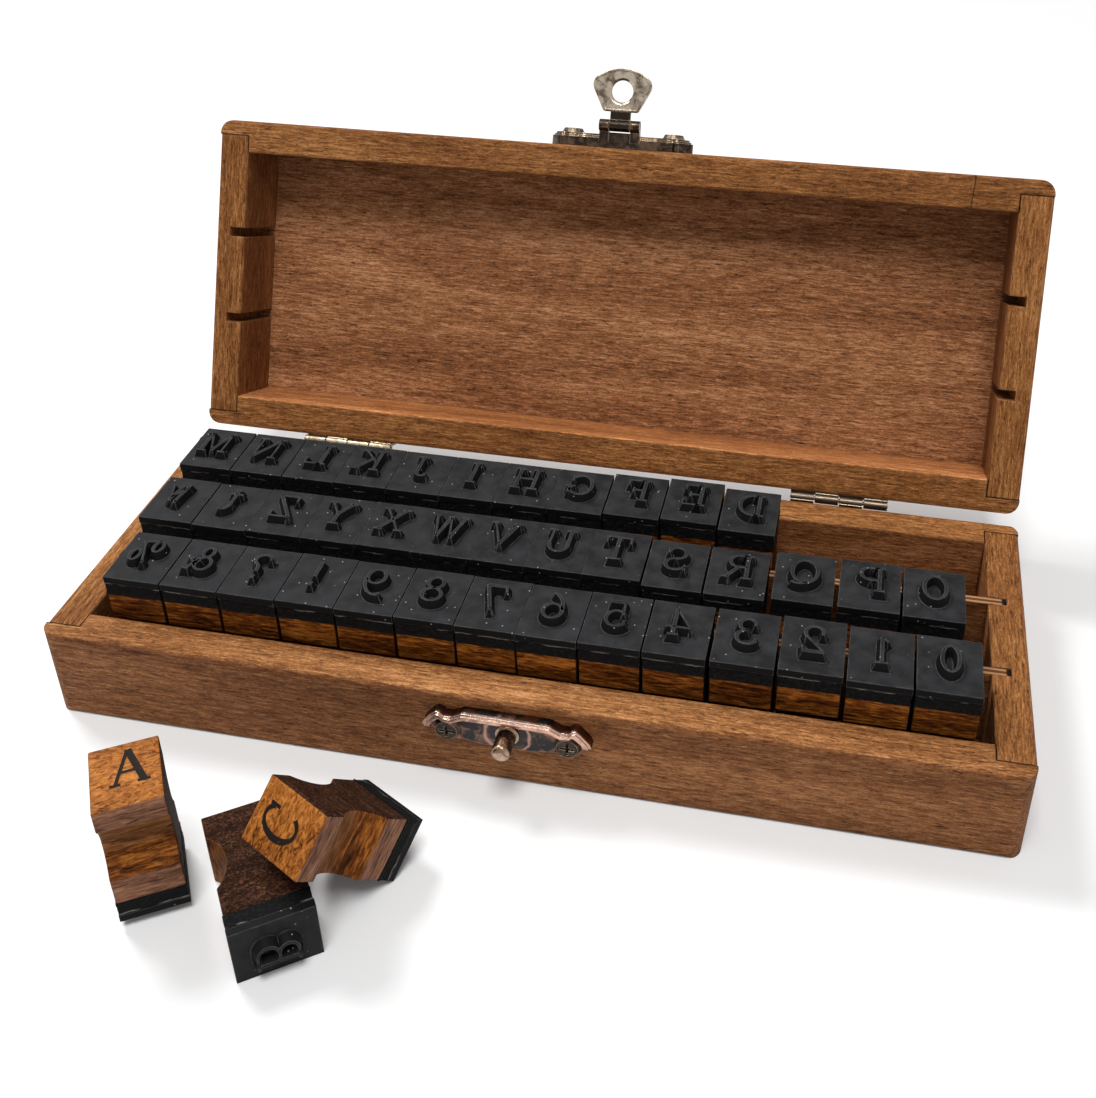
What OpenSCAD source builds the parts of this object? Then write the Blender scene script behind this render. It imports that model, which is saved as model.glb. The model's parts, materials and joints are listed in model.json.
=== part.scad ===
// Wooden box of small rubber character stamps, shown with its lid open.
// Origin: middle of the underside of the box. +X runs along the box, -Y is the latch side, +Z is up.
// Each half of the box is a tray of four walls and a panel; the lid is the same tray turned over.

/* [Box] */
// Length of the box
box_l = 150; // [125:0.5:190]
// Depth of the box from front to rear
box_d = 57.4; // [54:0.2:80]
// Height of the lower half
base_h = 16.2; // [14:0.1:22]
// Height of the lid
lid_h = 17; // [15:0.1:24]
// Gap between the two halves when shut
lid_gap = 0.3; // [0.2:0.05:0.6]
// Thickness of the front and rear walls
long_wall = 5.8; // [5:0.1:7]
// Thickness of the end walls
end_wall = 5.6; // [4.5:0.1:7]
// Thickness of the floor panel
floor_t = 2.3; // [1.8:0.1:3.2]
// Thickness of the panel that closes the lid
lid_panel_t = 3.5; // [2:0.1:4.5]
// Thickness of the tongue of a long wall that covers the end of an end wall
tongue_t = 2.7; // [2.6:0.1:3.6]
// How far a panel reaches under the walls
rebate_w = 2.9; // [2:0.1:3.5]
// Clearance round a panel in its rebate
panel_clear = 0.05; // [0.02:0.01:0.15]
// Radius of the upright corners
corner_r = 2.5; // [1:0.1:2.6]
// Radius of the eased edges of the walls
ease_r = 0.7; // [0.2:0.05:1]

/* [Dividers] */
// Thickness of a divider slat
divider_t = 1.45; // [1:0.05:2]
// How far each divider stands outwards of an even third of the box
divider_out = 0.175; // [0:0.025:0.4]
// Depth of the notches that hold the ends of a divider
notch_d = 2.9; // [2:0.1:3.5]
// Clearance on each side of a divider in its notches
divider_clear = 0.12; // [0.05:0.01:0.3]
// How far a divider stays below the rim
divider_drop = 0.2; // [0:0.1:1]

/* [Stamps] */
// Width of a wooden block, along the row
block_w = 9.1; // [7:0.1:9.3]
// Depth of a wooden block, across the row
block_d = 11.2; // [9:0.1:12]
// Length of a wooden block
block_l = 17.3; // [16:0.1:22]
// Thickness of the foam cushion
cushion_t = 2.2; // [1:0.1:3]
// Thickness of the rubber die without its raised character
die_t = 1.2; // [0.8:0.05:2]
// How far the cushion and the die stand proud of the block all round
die_over = 0.13; // [0:0.01:0.2]
// Height of the raised character on a die
relief_h = 1.4; // [0.8:0.1:2]
// Width of the raised ground that carries the character
relief_w = 4.6; // [3:0.1:6]
// Length of the raised ground that carries the character
relief_l = 6.8; // [5:0.1:8]
// Distance of the finger grips from the printed end
grip_start = 3.5; // [2:0.1:5]
// Length of a finger grip along the block
grip_l = 9.1; // [7:0.1:11]
// Depth of a finger grip
grip_d = 2.05; // [0.8:0.05:2.6]
// Clearance under a stamp or a divider that stands in the box
rest_clear = 0.05; // [0.02:0.01:0.2]
// Gap between the dies of two stamps side by side
die_gap = 0.2; // [0.1:0.05:0.6]
// Empty places at the right end of the rear row
rear_empty = 3; // [1:1:6]
// Gap between the left end wall and the front row
front_row_gap = 2.7; // [0.1:0.1:4]
// Gap between the left end wall and the middle row
middle_row_gap = 0.55; // [0.1:0.05:4]
// Gap between the left end wall and the rear row
rear_row_gap = 0.1; // [0.1:0.05:4]
// Share of the front row's spare depth that lies before it
front_row_share = 0.48; // [0.05:0.01:0.95]
// Share of the middle row's spare depth that lies before it
middle_row_share = 0.29; // [0.05:0.01:0.95]
// Share of the rear row's spare depth that lies before it
rear_row_share = 0.05; // [0.05:0.01:0.95]

/* [Hinges] */
// Distance of the left hinge from the middle of the box
left_hinge_x = 46.7; // [30:0.1:52]
// Distance of the right hinge from the middle of the box
right_hinge_x = 44.5; // [30:0.1:52]
// Length of a hinge
hinge_l = 17; // [12:0.5:24]
// Outer radius of a hinge barrel
barrel_r = 0.85; // [0.7:0.05:1.2]
// Clearance between a barrel and the rear face of the box
barrel_clear = 0.1; // [0.05:0.05:0.3]
// Radius of a hinge pin
hinge_pin_r = 0.35; // [0.25:0.05:0.5]
// Clearance of a pin in its bore
pin_clear = 0.05; // [0.02:0.01:0.1]
// Knuckles on each hinge
knuckles = 4; // [2:2:8]
// Gap between two knuckles
knuckle_gap = 0.2; // [0.1:0.05:0.4]
// Thickness of a hinge leaf
leaf_t = 0.5; // [0.3:0.05:0.8]
// Height of a hinge leaf below the axis
leaf_h = 7; // [5:0.1:9]
// Angle at which the lid stands open
lid_open = 114; // [95:1:125]

/* [Latch] */
// Place of the latch along the box
latch_x = 0.2; // [-20:0.1:20]
// Distance from the middle of the latch to each screw
screw_x = 9.15; // [8:0.05:11]
// Radius of a screw head
screw_head_r = 2.05; // [1.5:0.05:2.4]
// Height of a screw head
screw_head_h = 0.8; // [0.5:0.05:1.2]
// Radius of a screw shank
screw_r = 0.8; // [0.5:0.05:1]
// Length of a screw under its head
screw_l = 5; // [3:0.1:5.4]
// Clearance of a screw, a nail or the stud in its hole
fix_clear = 0.05; // [0.02:0.01:0.15]
// Height of the pressed tray of a latch plate above the wood
plate_rise = 0.9; // [0.7:0.05:1.4]
// Thickness of the sheet metal
sheet_t = 0.45; // [0.3:0.05:0.6]
// Distance from the screw line to the lip of a latch plate
plate_top = 3.9; // [3.4:0.1:4.4]
// Distance from the screw line to the other edge of a latch plate
plate_low = 2.5; // [2.2:0.1:3.2]
// Half the width of a latch plate at its pointed ends
plate_end = 12.8; // [11.5:0.1:14.5]
// Half the width of the straight middle of the lip
lip_half = 6.2; // [4:0.1:7]
// Height of the lip above the wood
lip_h = 2; // [1.6:0.1:2.4]
// Height of the upper plate's crown, which the lid's screws sit on, above the wood
crown_h = 2.35; // [1:0.05:2.5]
// Distance of the lower plate's lip below the rim
lower_lip_drop = 1.95; // [1:0.05:2.5]
// Distance of the upper plate's lip above the lid's rim
upper_lip_rise = 0.4; // [0.2:0.05:1]
// Radius of the stud that the hasp goes over
stud_r = 1.45; // [1:0.05:1.6]
// Reach of the stud from the wood
stud_reach = 5; // [4.6:0.1:6]
// Radius of the rounding at the tip of the stud
stud_tip_r = 0.6; // [0.3:0.05:0.9]
// Height of the stud above the screw line of the lower plate
stud_up = 0.25; // [0:0.05:0.8]
// Distance of the hasp's pivot from the front face of the lid
pivot_out = 3.9; // [3.6:0.1:4.4]
// Height of the hasp's pivot above the rim of the lid
pivot_up = 0.1; // [0:0.05:0.6]
// Radius of the latch knuckles
ear_r = 1.05; // [0.9:0.05:1.3]
// Radius of the latch pin
latch_pin_r = 0.5; // [0.4:0.05:0.6]
// Half the width of the hasp's neck
neck_half = 1.8; // [1.4:0.1:2.4]
// Width of each ear beside the neck
ear_w = 1.7; // [1:0.1:2.4]
// Gap between the neck and an ear
ear_gap = 0.12; // [0.05:0.01:0.3]
// Thickness of the hasp
hasp_t = 0.7; // [0.5:0.05:0.9]
// Radius of the hole in the hasp
hasp_hole_r = 1.9; // [1.7:0.05:2.2]
// Reach of the hasp beyond the middle of its hole
hasp_end = 3.9; // [3.4:0.1:4.6]
// Distance from the pivot to the edge where the hasp's tab starts
hasp_start = 2.4; // [2:0.1:2.8]
// Half the width of the hasp's tab
hasp_half = 5.2; // [4.4:0.1:6]
// Radius of the tab's round shoulders
shoulder_r = 1.9; // [1:0.1:2.4]
// Radius of the arc that ends the tab
hasp_end_r = 7.5; // [6:0.1:12]
// Half the width of the hasp's straight edge beside the neck
hasp_heel = 3.3; // [2.6:0.1:4]
// Angle through which the hasp is swung up from its shut place
hasp_open = 90; // [60:1:120]

/* [Loose stamps] */
// Distance of stamp A to the left of the middle of the box
a_left = 43.7; // [40:0.1:60]
// Distance of stamp A before the middle of the box
a_before = 56.5; // [50:0.1:80]
// Turn of stamp A
a_turn = 31.7; // [-60:0.1:60]
// Distance of stamp B's printed end to the left of the middle of the box
b_left = 33.2; // [20:0.1:33.4]
// Distance of stamp B's printed end before the middle of the box
b_before = 48.2; // [42:0.1:60]
// Direction in which stamp B points
b_turn = -54.6; // [-75:0.1:-35]
// Distance of stamp C's printed end to the right of stamp B's
c_right = 11.27; // [10:0.01:13]
// Distance of stamp C's printed end before stamp B's
c_before = 8.97; // [8:0.01:10]
// Height of the middle of stamp C's printed end
c_height = 17.67; // [17.6:0.01:19]
// Direction in which stamp C points
c_turn = 61.8; // [50:0.1:75]
// Slope of stamp C down to the table
c_slope = 43.4; // [40:0.1:46]
// Roll of stamp C about its length
c_roll = -0.2; // [-3:0.1:1]

/* [Hidden] */
$fn = 48;

// Overshoot of a cutting tool past the face that it opens
cut = 1;
half_l = box_l / 2;
half_d = box_d / 2;
inner_l = box_l - 2 * end_wall;
inner_d = box_d - 2 * long_wall;
divider_y = (inner_d - 2 * divider_t) / 6 + divider_t / 2 + divider_out;
side_bay = inner_d / 2 - divider_y - divider_t / 2;
middle_bay = 2 * divider_y - divider_t;
lid_rim_z = base_h + lid_gap;
lid_top_z = lid_rim_z + lid_h;
barrel_out = barrel_r + barrel_clear;
hinge_y = half_d + barrel_out;
hinge_z = base_h + lid_gap / 2;
leaf_top = barrel_r + 0.2;
hinge_x = [-left_hinge_x, right_hinge_x];
nail_in = 3;
nail_r = 0.45;
nail_head_r = 0.95;
nail_head_h = 0.35;
nail_l = 4;
nail_x = hinge_l / 2 - nail_in;
nail_drop = (leaf_h + leaf_top) / 2;
knuckle_l = hinge_l / knuckles;
die_w = block_w + 2 * die_over;
die_d = block_d + 2 * die_over;
pitch = die_w + die_gap;
row_gap = [front_row_gap, middle_row_gap, rear_row_gap];
row_share = [front_row_share, middle_row_share, rear_row_share];
bay_front = [-inner_d / 2, -middle_bay / 2, divider_y + divider_t / 2];
bay_d = [side_bay, middle_bay, side_bay];
row_empty = [0, 0, rear_empty];
stamp_l = block_l + cushion_t + die_t;
lower_screw_z = base_h - lower_lip_drop - plate_top;
upper_screw_z = lid_rim_z + upper_lip_rise + plate_top;
stud_z = lower_screw_z + stud_up;
pivot_z = lid_rim_z + pivot_up;
pivot_y = -half_d - pivot_out;
hole_reach = pivot_z - stud_z;
ears_l = 2 * (neck_half + ear_gap + ear_w);
hasp_rim = 0.2;
hasp_dish = 0.35;
rivet_r = 1;
rivet_head_r = 1.6;
lip_w = 1;
lip_bevel = 0.3;
bridge_h = pivot_out - ear_r - 0.15;
collar_h = 0.2;
heel_r = 0.6;

wood = [0.56, 0.37, 0.23];
panel_wood = [0.5, 0.32, 0.2];
block_wood = [0.55, 0.29, 0.1];
foam = [0.08, 0.08, 0.08];
rubber = [0.16, 0.16, 0.17];
bronze = [0.34, 0.27, 0.2];
copper = [0.5, 0.34, 0.27];
brass = [0.66, 0.56, 0.36];

// Swings a piece of the shut lid to where it stands open
module opened() {
    translate([0, hinge_y, hinge_z]) rotate([-lid_open, 0, 0]) translate([0, -hinge_y, -hinge_z])
        children();
}

// Turns a tray over and sets it on the lower half as the shut lid
module as_lid() {
    translate([0, 0, lid_top_z]) mirror([0, 0, 1]) children();
}

// What easing takes off a square edge at the origin
module ease_cut(r) {
    difference() {
        translate([-cut, -cut]) square(r + cut);
        translate([r, r]) circle(r);
    }
}

// Section of a wall: outer face on the left, open rim on top
module wall_section(w, h) {
    difference() {
        square([w, h]);
        ease_cut(ease_r);
        translate([0, h]) mirror([0, 1]) ease_cut(ease_r);
        translate([w, h]) rotate(180) ease_cut(ease_r / 2);
    }
}

// Plan of the box with its rounded upright corners
module plan() {
    difference() {
        square([box_l, box_d], center = true);
        for (sx = [-1, 1], sy = [-1, 1]) scale([sx, sy])
            translate([half_l, half_d]) rotate(180) ease_cut(corner_r);
    }
}

// Space that a panel takes, with its clearance
module panel_space(panel_t, clear) {
    w = inner_l + 2 * rebate_w + 2 * clear;
    d = inner_d + 2 * rebate_w + 2 * clear;
    translate([-w / 2, -d / 2, -cut]) cube([w, d, panel_t + cut]);
}

// Front wall of a tray, full length, with a tongue over each end wall
module tray_long_wall(h, panel_t) {
    difference() {
        intersection() {
            translate([-half_l, -half_d, 0]) rotate([90, 0, 90]) linear_extrude(box_l)
                wall_section(long_wall, h);
            linear_extrude(h) plan();
        }
        for (side = [-1, 1]) translate([side * half_l, -half_d + tongue_t + long_wall, h / 2])
            cube([2 * end_wall, 2 * long_wall, h + 2 * cut], center = true);
        panel_space(panel_t, panel_clear);
    }
}

// Right end wall of a tray, between the tongues, with a notch for each divider
module tray_end_wall(h, panel_t) {
    wall_d = box_d - 2 * tongue_t;
    notch_w = divider_t + 2 * divider_clear;
    difference() {
        translate([half_l, wall_d / 2, 0]) rotate([90, 0, 0]) linear_extrude(wall_d)
            mirror([1, 0]) wall_section(end_wall, h);
        for (side = [-1, 1])
            translate([inner_l / 2 - cut, side * divider_y - notch_w / 2, panel_t])
                cube([notch_d + cut, notch_w, h]);
        panel_space(panel_t, panel_clear);
    }
}

// Panel of a tray
module tray_panel(panel_t) {
    w = inner_l + 2 * rebate_w;
    d = inner_d + 2 * rebate_w;
    translate([-w / 2, -d / 2, 0]) cube([w, d, panel_t]);
}

// Puts copies at the nails of both hinges, pointing forwards into the wood
module at_nails(z) {
    for (x = hinge_x, side = [-1, 1]) translate([x + side * nail_x, half_d, z]) rotate([90, 0, 0])
        children();
}

// Puts copies at the two screws of a latch plate, pointing into the wood
module at_screws(z) {
    for (side = [-1, 1]) translate([latch_x + side * screw_x, -half_d, z]) rotate([-90, 0, 0])
        children();
}

module nail_hole() {
    translate([0, 0, -cut]) cylinder(r = nail_r + fix_clear, h = nail_l + cut + fix_clear);
}

module screw_hole() {
    translate([0, 0, -cut]) cylinder(r = screw_r + fix_clear, h = screw_l + cut + fix_clear);
}

// Box walls and floor
module box_front_wall() {
    color(wood) difference() {
        tray_long_wall(base_h, floor_t);
        at_screws(lower_screw_z) screw_hole();
    }
}

module box_rear_wall() {
    color(wood) difference() {
        mirror([0, 1, 0]) tray_long_wall(base_h, floor_t);
        at_nails(hinge_z - nail_drop) nail_hole();
    }
}

module box_left_end() {
    color(wood) mirror([1, 0, 0]) tray_end_wall(base_h, floor_t);
}

module box_right_end() {
    color(wood) tray_end_wall(base_h, floor_t);
}

module box_floor() {
    color(panel_wood) tray_panel(floor_t);
}

// Lid walls and panel
module lid_front_wall() {
    color(wood) opened() difference() {
        as_lid() tray_long_wall(lid_h, lid_panel_t);
        at_screws(upper_screw_z) screw_hole();
    }
}

module lid_rear_wall() {
    color(wood) opened() difference() {
        as_lid() mirror([0, 1, 0]) tray_long_wall(lid_h, lid_panel_t);
        at_nails(hinge_z + nail_drop) nail_hole();
    }
}

module lid_left_end() {
    color(wood) opened() as_lid() mirror([1, 0, 0]) tray_end_wall(lid_h, lid_panel_t);
}

module lid_right_end() {
    color(wood) opened() as_lid() tray_end_wall(lid_h, lid_panel_t);
}

module lid_panel() {
    color(panel_wood) opened() as_lid() tray_panel(lid_panel_t);
}

// Slat that drops into a pair of notches
module divider(y) {
    w = inner_l + 2 * notch_d - 2 * divider_clear;
    z = floor_t + rest_clear;
    translate([-w / 2, y - divider_t / 2, z]) cube([w, divider_t, base_h - divider_drop - z]);
}

module divider_front() {
    color(panel_wood) divider(-divider_y);
}

module divider_rear() {
    color(panel_wood) divider(divider_y);
}

// Stamp, standing on its printed end: X across the character, Y up the character
module stamp_block() {
    grip_r = (grip_l * grip_l / 4 + grip_d * grip_d) / (2 * grip_d);
    translate([-block_w / 2, 0, 0]) rotate([90, 0, 90]) linear_extrude(block_w) difference() {
        translate([-block_d / 2, 0]) square([block_d, block_l]);
        for (side = [-1, 1])
            translate([side * (block_d / 2 + grip_r - grip_d), grip_start + grip_l / 2])
                circle(grip_r, $fn = 96);
    }
}

module stamp_cushion() {
    translate([-die_w / 2, -die_d / 2, block_l]) cube([die_w, die_d, cushion_t]);
}

// Rubber die with the raised ground of its character
module stamp_die() {
    translate([-die_w / 2, -die_d / 2, block_l + cushion_t]) cube([die_w, die_d, die_t]);
    translate([-relief_w / 2, -relief_l / 2, stamp_l - die_t / 2])
        cube([relief_w, relief_l, die_t / 2 + relief_h]);
}

// Repeats a stamp piece along one of the rows, 0 at the front, as often as the box has places
module along_row(row) {
    places = floor((inner_l - row_gap[row]) / pitch);
    for (i = [0 : places - row_empty[row] - 1])
        translate([
            -inner_l / 2 + row_gap[row] + pitch * (i + 0.5),
            bay_front[row] + row_share[row] * (bay_d[row] - die_d) + die_d / 2,
            floor_t + rest_clear])
            children();
}

module front_row_blocks() {
    color(block_wood) along_row(0) stamp_block();
}

module front_row_cushions() {
    color(foam) along_row(0) stamp_cushion();
}

module front_row_dies() {
    color(rubber) along_row(0) stamp_die();
}

module middle_row_blocks() {
    color(block_wood) along_row(1) stamp_block();
}

module middle_row_cushions() {
    color(foam) along_row(1) stamp_cushion();
}

module middle_row_dies() {
    color(rubber) along_row(1) stamp_die();
}

module rear_row_blocks() {
    color(block_wood) along_row(2) stamp_block();
}

module rear_row_cushions() {
    color(foam) along_row(2) stamp_cushion();
}

module rear_row_dies() {
    color(rubber) along_row(2) stamp_die();
}

// Stamp A stands on its die
module a_place() {
    translate([-a_left, -a_before, stamp_l + relief_h]) rotate([0, 0, a_turn]) rotate([180, 0, 0])
        children();
}

// Stamp B lies on its side, tipped up a little by the proud edge of its cushion
module b_place() {
    tip = asin(die_over / block_l);
    translate([-b_left, -b_before, block_w / 2]) rotate([0, 0, b_turn]) rotate([0, 90 - tip, 0])
        children();
}

// Stamp C leans on stamp B with one edge of its die on the table
module c_place() {
    translate([c_right - b_left, -c_before - b_before, c_height])
        rotate([0, 0, c_turn]) rotate([0, 90 + c_slope, 0]) rotate([0, 0, c_roll]) children();
}

module stamp_a_block() {
    color(block_wood) a_place() stamp_block();
}

module stamp_a_cushion() {
    color(foam) a_place() stamp_cushion();
}

module stamp_a_die() {
    color(rubber) a_place() stamp_die();
}

module stamp_b_block() {
    color(block_wood) b_place() stamp_block();
}

module stamp_b_cushion() {
    color(foam) b_place() stamp_cushion();
}

module stamp_b_die() {
    color(rubber) b_place() stamp_die();
}

module stamp_c_block() {
    color(block_wood) c_place() stamp_block();
}

module stamp_c_cushion() {
    color(foam) c_place() stamp_cushion();
}

module stamp_c_die() {
    color(rubber) c_place() stamp_die();
}

// Cylinder along X, centred
module rod_x(r, l) {
    rotate([0, 90, 0]) cylinder(r = r, h = l, center = true);
}

// Hinge leaf hanging below its axis; it carries every second knuckle from the one given
module leaf(first) {
    difference() {
        union() {
            translate([-hinge_l / 2, -barrel_out, -leaf_h]) cube([hinge_l, leaf_t, leaf_h - leaf_top]);
            for (k = [first : 2 : knuckles - 1]) {
                w = knuckle_l - knuckle_gap;
                translate([-hinge_l / 2 + knuckle_l * (k + 0.5), 0, 0]) {
                    rod_x(barrel_r, w);
                    translate([-w / 2, -barrel_out, -leaf_top - leaf_t])
                        cube([w, leaf_t, leaf_top + leaf_t]);
                }
            }
        }
        rod_x(hinge_pin_r + pin_clear, hinge_l + 2 * cut);
        for (side = [-1, 1]) translate([side * nail_x, 0, -nail_drop]) rotate([90, 0, 0])
            cylinder(r = nail_r + fix_clear, h = barrel_out + cut);
    }
}

module at_hinges() {
    for (x = hinge_x) translate([x, hinge_y, hinge_z]) children();
}

module hinge_box_leaves() {
    color(brass) at_hinges() leaf(0);
}

module hinge_lid_leaves() {
    color(brass) opened() at_hinges() mirror([0, 0, 1]) leaf(1);
}

module hinge_pins() {
    color(brass) at_hinges() rod_x(hinge_pin_r, hinge_l);
}

// Round-headed nail, its head on a hinge leaf
module nail() {
    translate([0, 0, -leaf_t]) cylinder(r = nail_r, h = nail_l + leaf_t);
    translate([0, 0, -leaf_t - nail_head_h]) cylinder(r1 = 0.6 * nail_head_r, r2 = nail_head_r, h = nail_head_h);
}

module hinge_box_nails() {
    color(brass) at_nails(hinge_z - nail_drop) nail();
}

module hinge_lid_nails() {
    color(brass) opened() at_nails(hinge_z + nail_drop) nail();
}

// Cross-slotted screw, its head on a latch plate that stands rise above the wood
module screw(rise) {
    slot_l = 2.4;
    slot_w = 0.5;
    difference() {
        union() {
            translate([0, 0, -rise]) cylinder(r = screw_r, h = screw_l + rise);
            translate([0, 0, -rise - screw_head_h])
                cylinder(r1 = 0.8 * screw_head_r, r2 = screw_head_r, h = screw_head_h);
        }
        translate([0, 0, -rise - screw_head_h]) for (turn = [0, 90]) rotate([0, 0, turn])
            cube([slot_l, slot_w, screw_head_h], center = true);
    }
}

module latch_box_screws() {
    color(bronze) at_screws(lower_screw_z) screw(plate_rise);
}

module latch_lid_screws() {
    color(bronze) opened() at_screws(upper_screw_z) screw(crown_h);
}

// Right half of a latch plate's outline about its screw line, drawn in by e at every edge
function plate_half(e) = [
    [0, -plate_low + e],
    [0.55 * lip_half, -plate_low + 0.1 + e],
    [screw_x - screw_head_r, -0.75 * plate_low + e],
    [screw_x, -0.9 * plate_low + e],
    [screw_x + 0.75 * screw_head_r - e / 2, -0.7 * plate_low + e],
    [screw_x + screw_head_r + 0.1 - e, -0.1 * plate_low + e],
    [plate_end - 1.2 * e, 0.2 * plate_top],
    [plate_end - 0.3 - 1.2 * e, 0.4 * plate_top],
    [screw_x + screw_head_r - e / 2, 0.8 * plate_top - e],
    [screw_x + 0.7 * screw_head_r - e / 2, 0.93 * plate_top - e],
    [screw_x + 0.4 * screw_head_r, 0.91 * plate_top - e],
    [screw_x + 0.1 * screw_head_r, 0.77 * plate_top - e],
    [screw_x - 0.4 * screw_head_r, 0.75 * plate_top - e],
    [lip_half + 0.5, 0.97 * plate_top - e],
    [lip_half, plate_top - e],
    [0, plate_top - e]];

module plate_outline(e) {
    for (side = [0, 1]) mirror([side, 0]) polygon(plate_half(e));
}

// Stretch of the outline from the lip down to height v, w wide
module lip_band(w, v) {
    difference() {
        plate_outline(0);
        plate_outline(w);
        translate([-plate_end - cut, -2 * plate_low]) square([2 * plate_end + 2 * cut, 2 * plate_low + v]);
    }
}

// Pressed latch plate, its middle standing rise above the wood: X along the box, Y towards the lip
module latch_plate(rise) {
    difference() {
        union() {
            linear_extrude(plate_rise) plate_outline(0);
            if (rise > plate_rise) linear_extrude(rise) plate_outline(lip_w - sheet_t);
            linear_extrude(lip_h - lip_bevel) lip_band(lip_w, 0.2 * plate_top);
            linear_extrude(lip_h) difference() {
                lip_band(lip_w, 0.2 * plate_top);
                lip_band(lip_bevel, 0);
            }
        }
        translate([0, 0, -cut]) linear_extrude(plate_rise - sheet_t + cut) plate_outline(sheet_t);
        if (rise > plate_rise)
            translate([0, 0, -cut]) linear_extrude(rise - sheet_t + cut) plate_outline(lip_w);
        for (side = [-1, 1]) translate([side * screw_x, 0, -cut]) {
            cylinder(r = screw_r + fix_clear, h = rise + 2 * cut);
            translate([0, 0, rise + cut]) cylinder(r = screw_head_r + 0.1, h = lip_h + cut);
        }
    }
}

// Sets a latch plate on the front of the box with its lip up, its screw line at height z
module on_front(z) {
    translate([latch_x, -half_d, z]) rotate([90, 0, 0]) children();
}

module latch_box_plate() {
    color(copper) difference() {
        on_front(lower_screw_z) latch_plate(plate_rise);
        translate([latch_x, -half_d, stud_z]) rotate([90, 0, 0]) translate([0, 0, -cut])
            cylinder(r = rivet_r + fix_clear, h = plate_rise + 2 * cut);
    }
}

// Stud riveted through the lower plate, with a collar on the plate and a rounded tip
module latch_stud() {
    color(copper) translate([latch_x, -half_d, stud_z]) rotate([90, 0, 0]) {
        cylinder(r = rivet_r, h = plate_rise);
        cylinder(r = rivet_head_r, h = plate_rise - sheet_t);
        translate([0, 0, plate_rise]) {
            cylinder(r = stud_r + 0.35, h = collar_h);
            rotate_extrude() difference() {
                square([stud_r, stud_reach - plate_rise]);
                translate([stud_r, stud_reach - plate_rise]) rotate(180) ease_cut(stud_tip_r);
            }
        }
    }
}

// Upper latch plate with the two ears that hold the hasp's pin and a bridge between their feet
module latch_lid_plate() {
    color(bronze) opened() difference() {
        union() {
            on_front(upper_screw_z) mirror([0, 1, 0]) latch_plate(crown_h);
            for (side = [-1, 1]) translate([latch_x + side * (ears_l - ear_w) / 2, 0, pivot_z]) {
                translate([0, pivot_y, 0]) rod_x(ear_r, ear_w);
                translate([-ear_w / 2, pivot_y, 0]) cube([ear_w, pivot_out - lip_h / 2, ear_r]);
            }
            translate([latch_x - ears_l / 2, -half_d - bridge_h, lid_rim_z + upper_lip_rise])
                cube([ears_l, bridge_h - lip_h / 2, lip_w]);
        }
        translate([latch_x, pivot_y, pivot_z]) rod_x(latch_pin_r + pin_clear, ears_l + 2 * cut);
    }
}

module latch_pin() {
    color(bronze) opened() translate([latch_x, pivot_y, pivot_z]) rod_x(latch_pin_r, ears_l);
}

// Outline of the hasp's tab below its pivot, drawn in by e: it widens to round shoulders and a flat arc
module tab_outline(e) {
    spread = hasp_half - shoulder_r;
    hull() {
        for (side = [-1, 1]) {
            translate([side * (hasp_heel - heel_r), -hasp_start - heel_r]) circle(heel_r - e);
            translate([side * spread, -hole_reach - hasp_end / 4]) circle(shoulder_r - e);
        }
        intersection() {
            translate([0, hasp_end_r - hole_reach - hasp_end]) circle(hasp_end_r - e, $fn = 96);
            translate([-spread, -hole_reach - 2 * hasp_end]) square([2 * spread, 2 * hasp_end]);
        }
    }
}

// Hasp in its shut place: it hangs from the pivot and its hole is on the stud
module shut_hasp() {
    difference() {
        union() {
            rod_x(ear_r, 2 * neck_half);
            rotate([90, 0, 0]) translate([0, 0, -hasp_t / 2]) {
                linear_extrude(hasp_t) {
                    translate([-neck_half, -hasp_start - 0.5]) square([2 * neck_half, hasp_start + 0.5]);
                    tab_outline(0);
                }
                translate([0, 0, -hasp_rim]) linear_extrude(hasp_t + hasp_rim) difference() {
                    tab_outline(0);
                    tab_outline(2 * hasp_rim);
                }
            }
        }
        rod_x(latch_pin_r + pin_clear, 4 * neck_half);
        translate([0, 0, -hole_reach]) rotate([90, 0, 0]) {
            cylinder(r = hasp_hole_r, h = 4 * hasp_t, center = true);
            translate([0, 0, -hasp_t / 2 - hasp_rim])
                cylinder(r1 = hasp_hole_r + 2 * hasp_dish, r2 = hasp_hole_r, h = hasp_dish + hasp_rim);
        }
    }
}

module latch_hasp() {
    color(bronze) opened() translate([latch_x, pivot_y, pivot_z]) rotate([-hasp_open, 0, 0])
        shut_hasp();
}

box_front_wall();
box_rear_wall();
box_left_end();
box_right_end();
box_floor();
lid_front_wall();
lid_rear_wall();
lid_left_end();
lid_right_end();
lid_panel();
divider_front();
divider_rear();
hinge_box_leaves();
hinge_lid_leaves();
hinge_pins();
hinge_box_nails();
hinge_lid_nails();
latch_box_plate();
latch_stud();
latch_box_screws();
latch_lid_plate();
latch_lid_screws();
latch_pin();
latch_hasp();
front_row_blocks();
front_row_cushions();
front_row_dies();
middle_row_blocks();
middle_row_cushions();
middle_row_dies();
rear_row_blocks();
rear_row_cushions();
rear_row_dies();
stamp_a_block();
stamp_a_cushion();
stamp_a_die();
stamp_b_block();
stamp_b_cushion();
stamp_b_die();
stamp_c_block();
stamp_c_cushion();
stamp_c_die();
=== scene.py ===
# Looks of the stamp box: woods, rubber dies with their characters, foam, antique metal,
# floor and light.
import json
import math
import random

import bmesh
import bpy
from mathutils import Matrix, Vector


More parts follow.
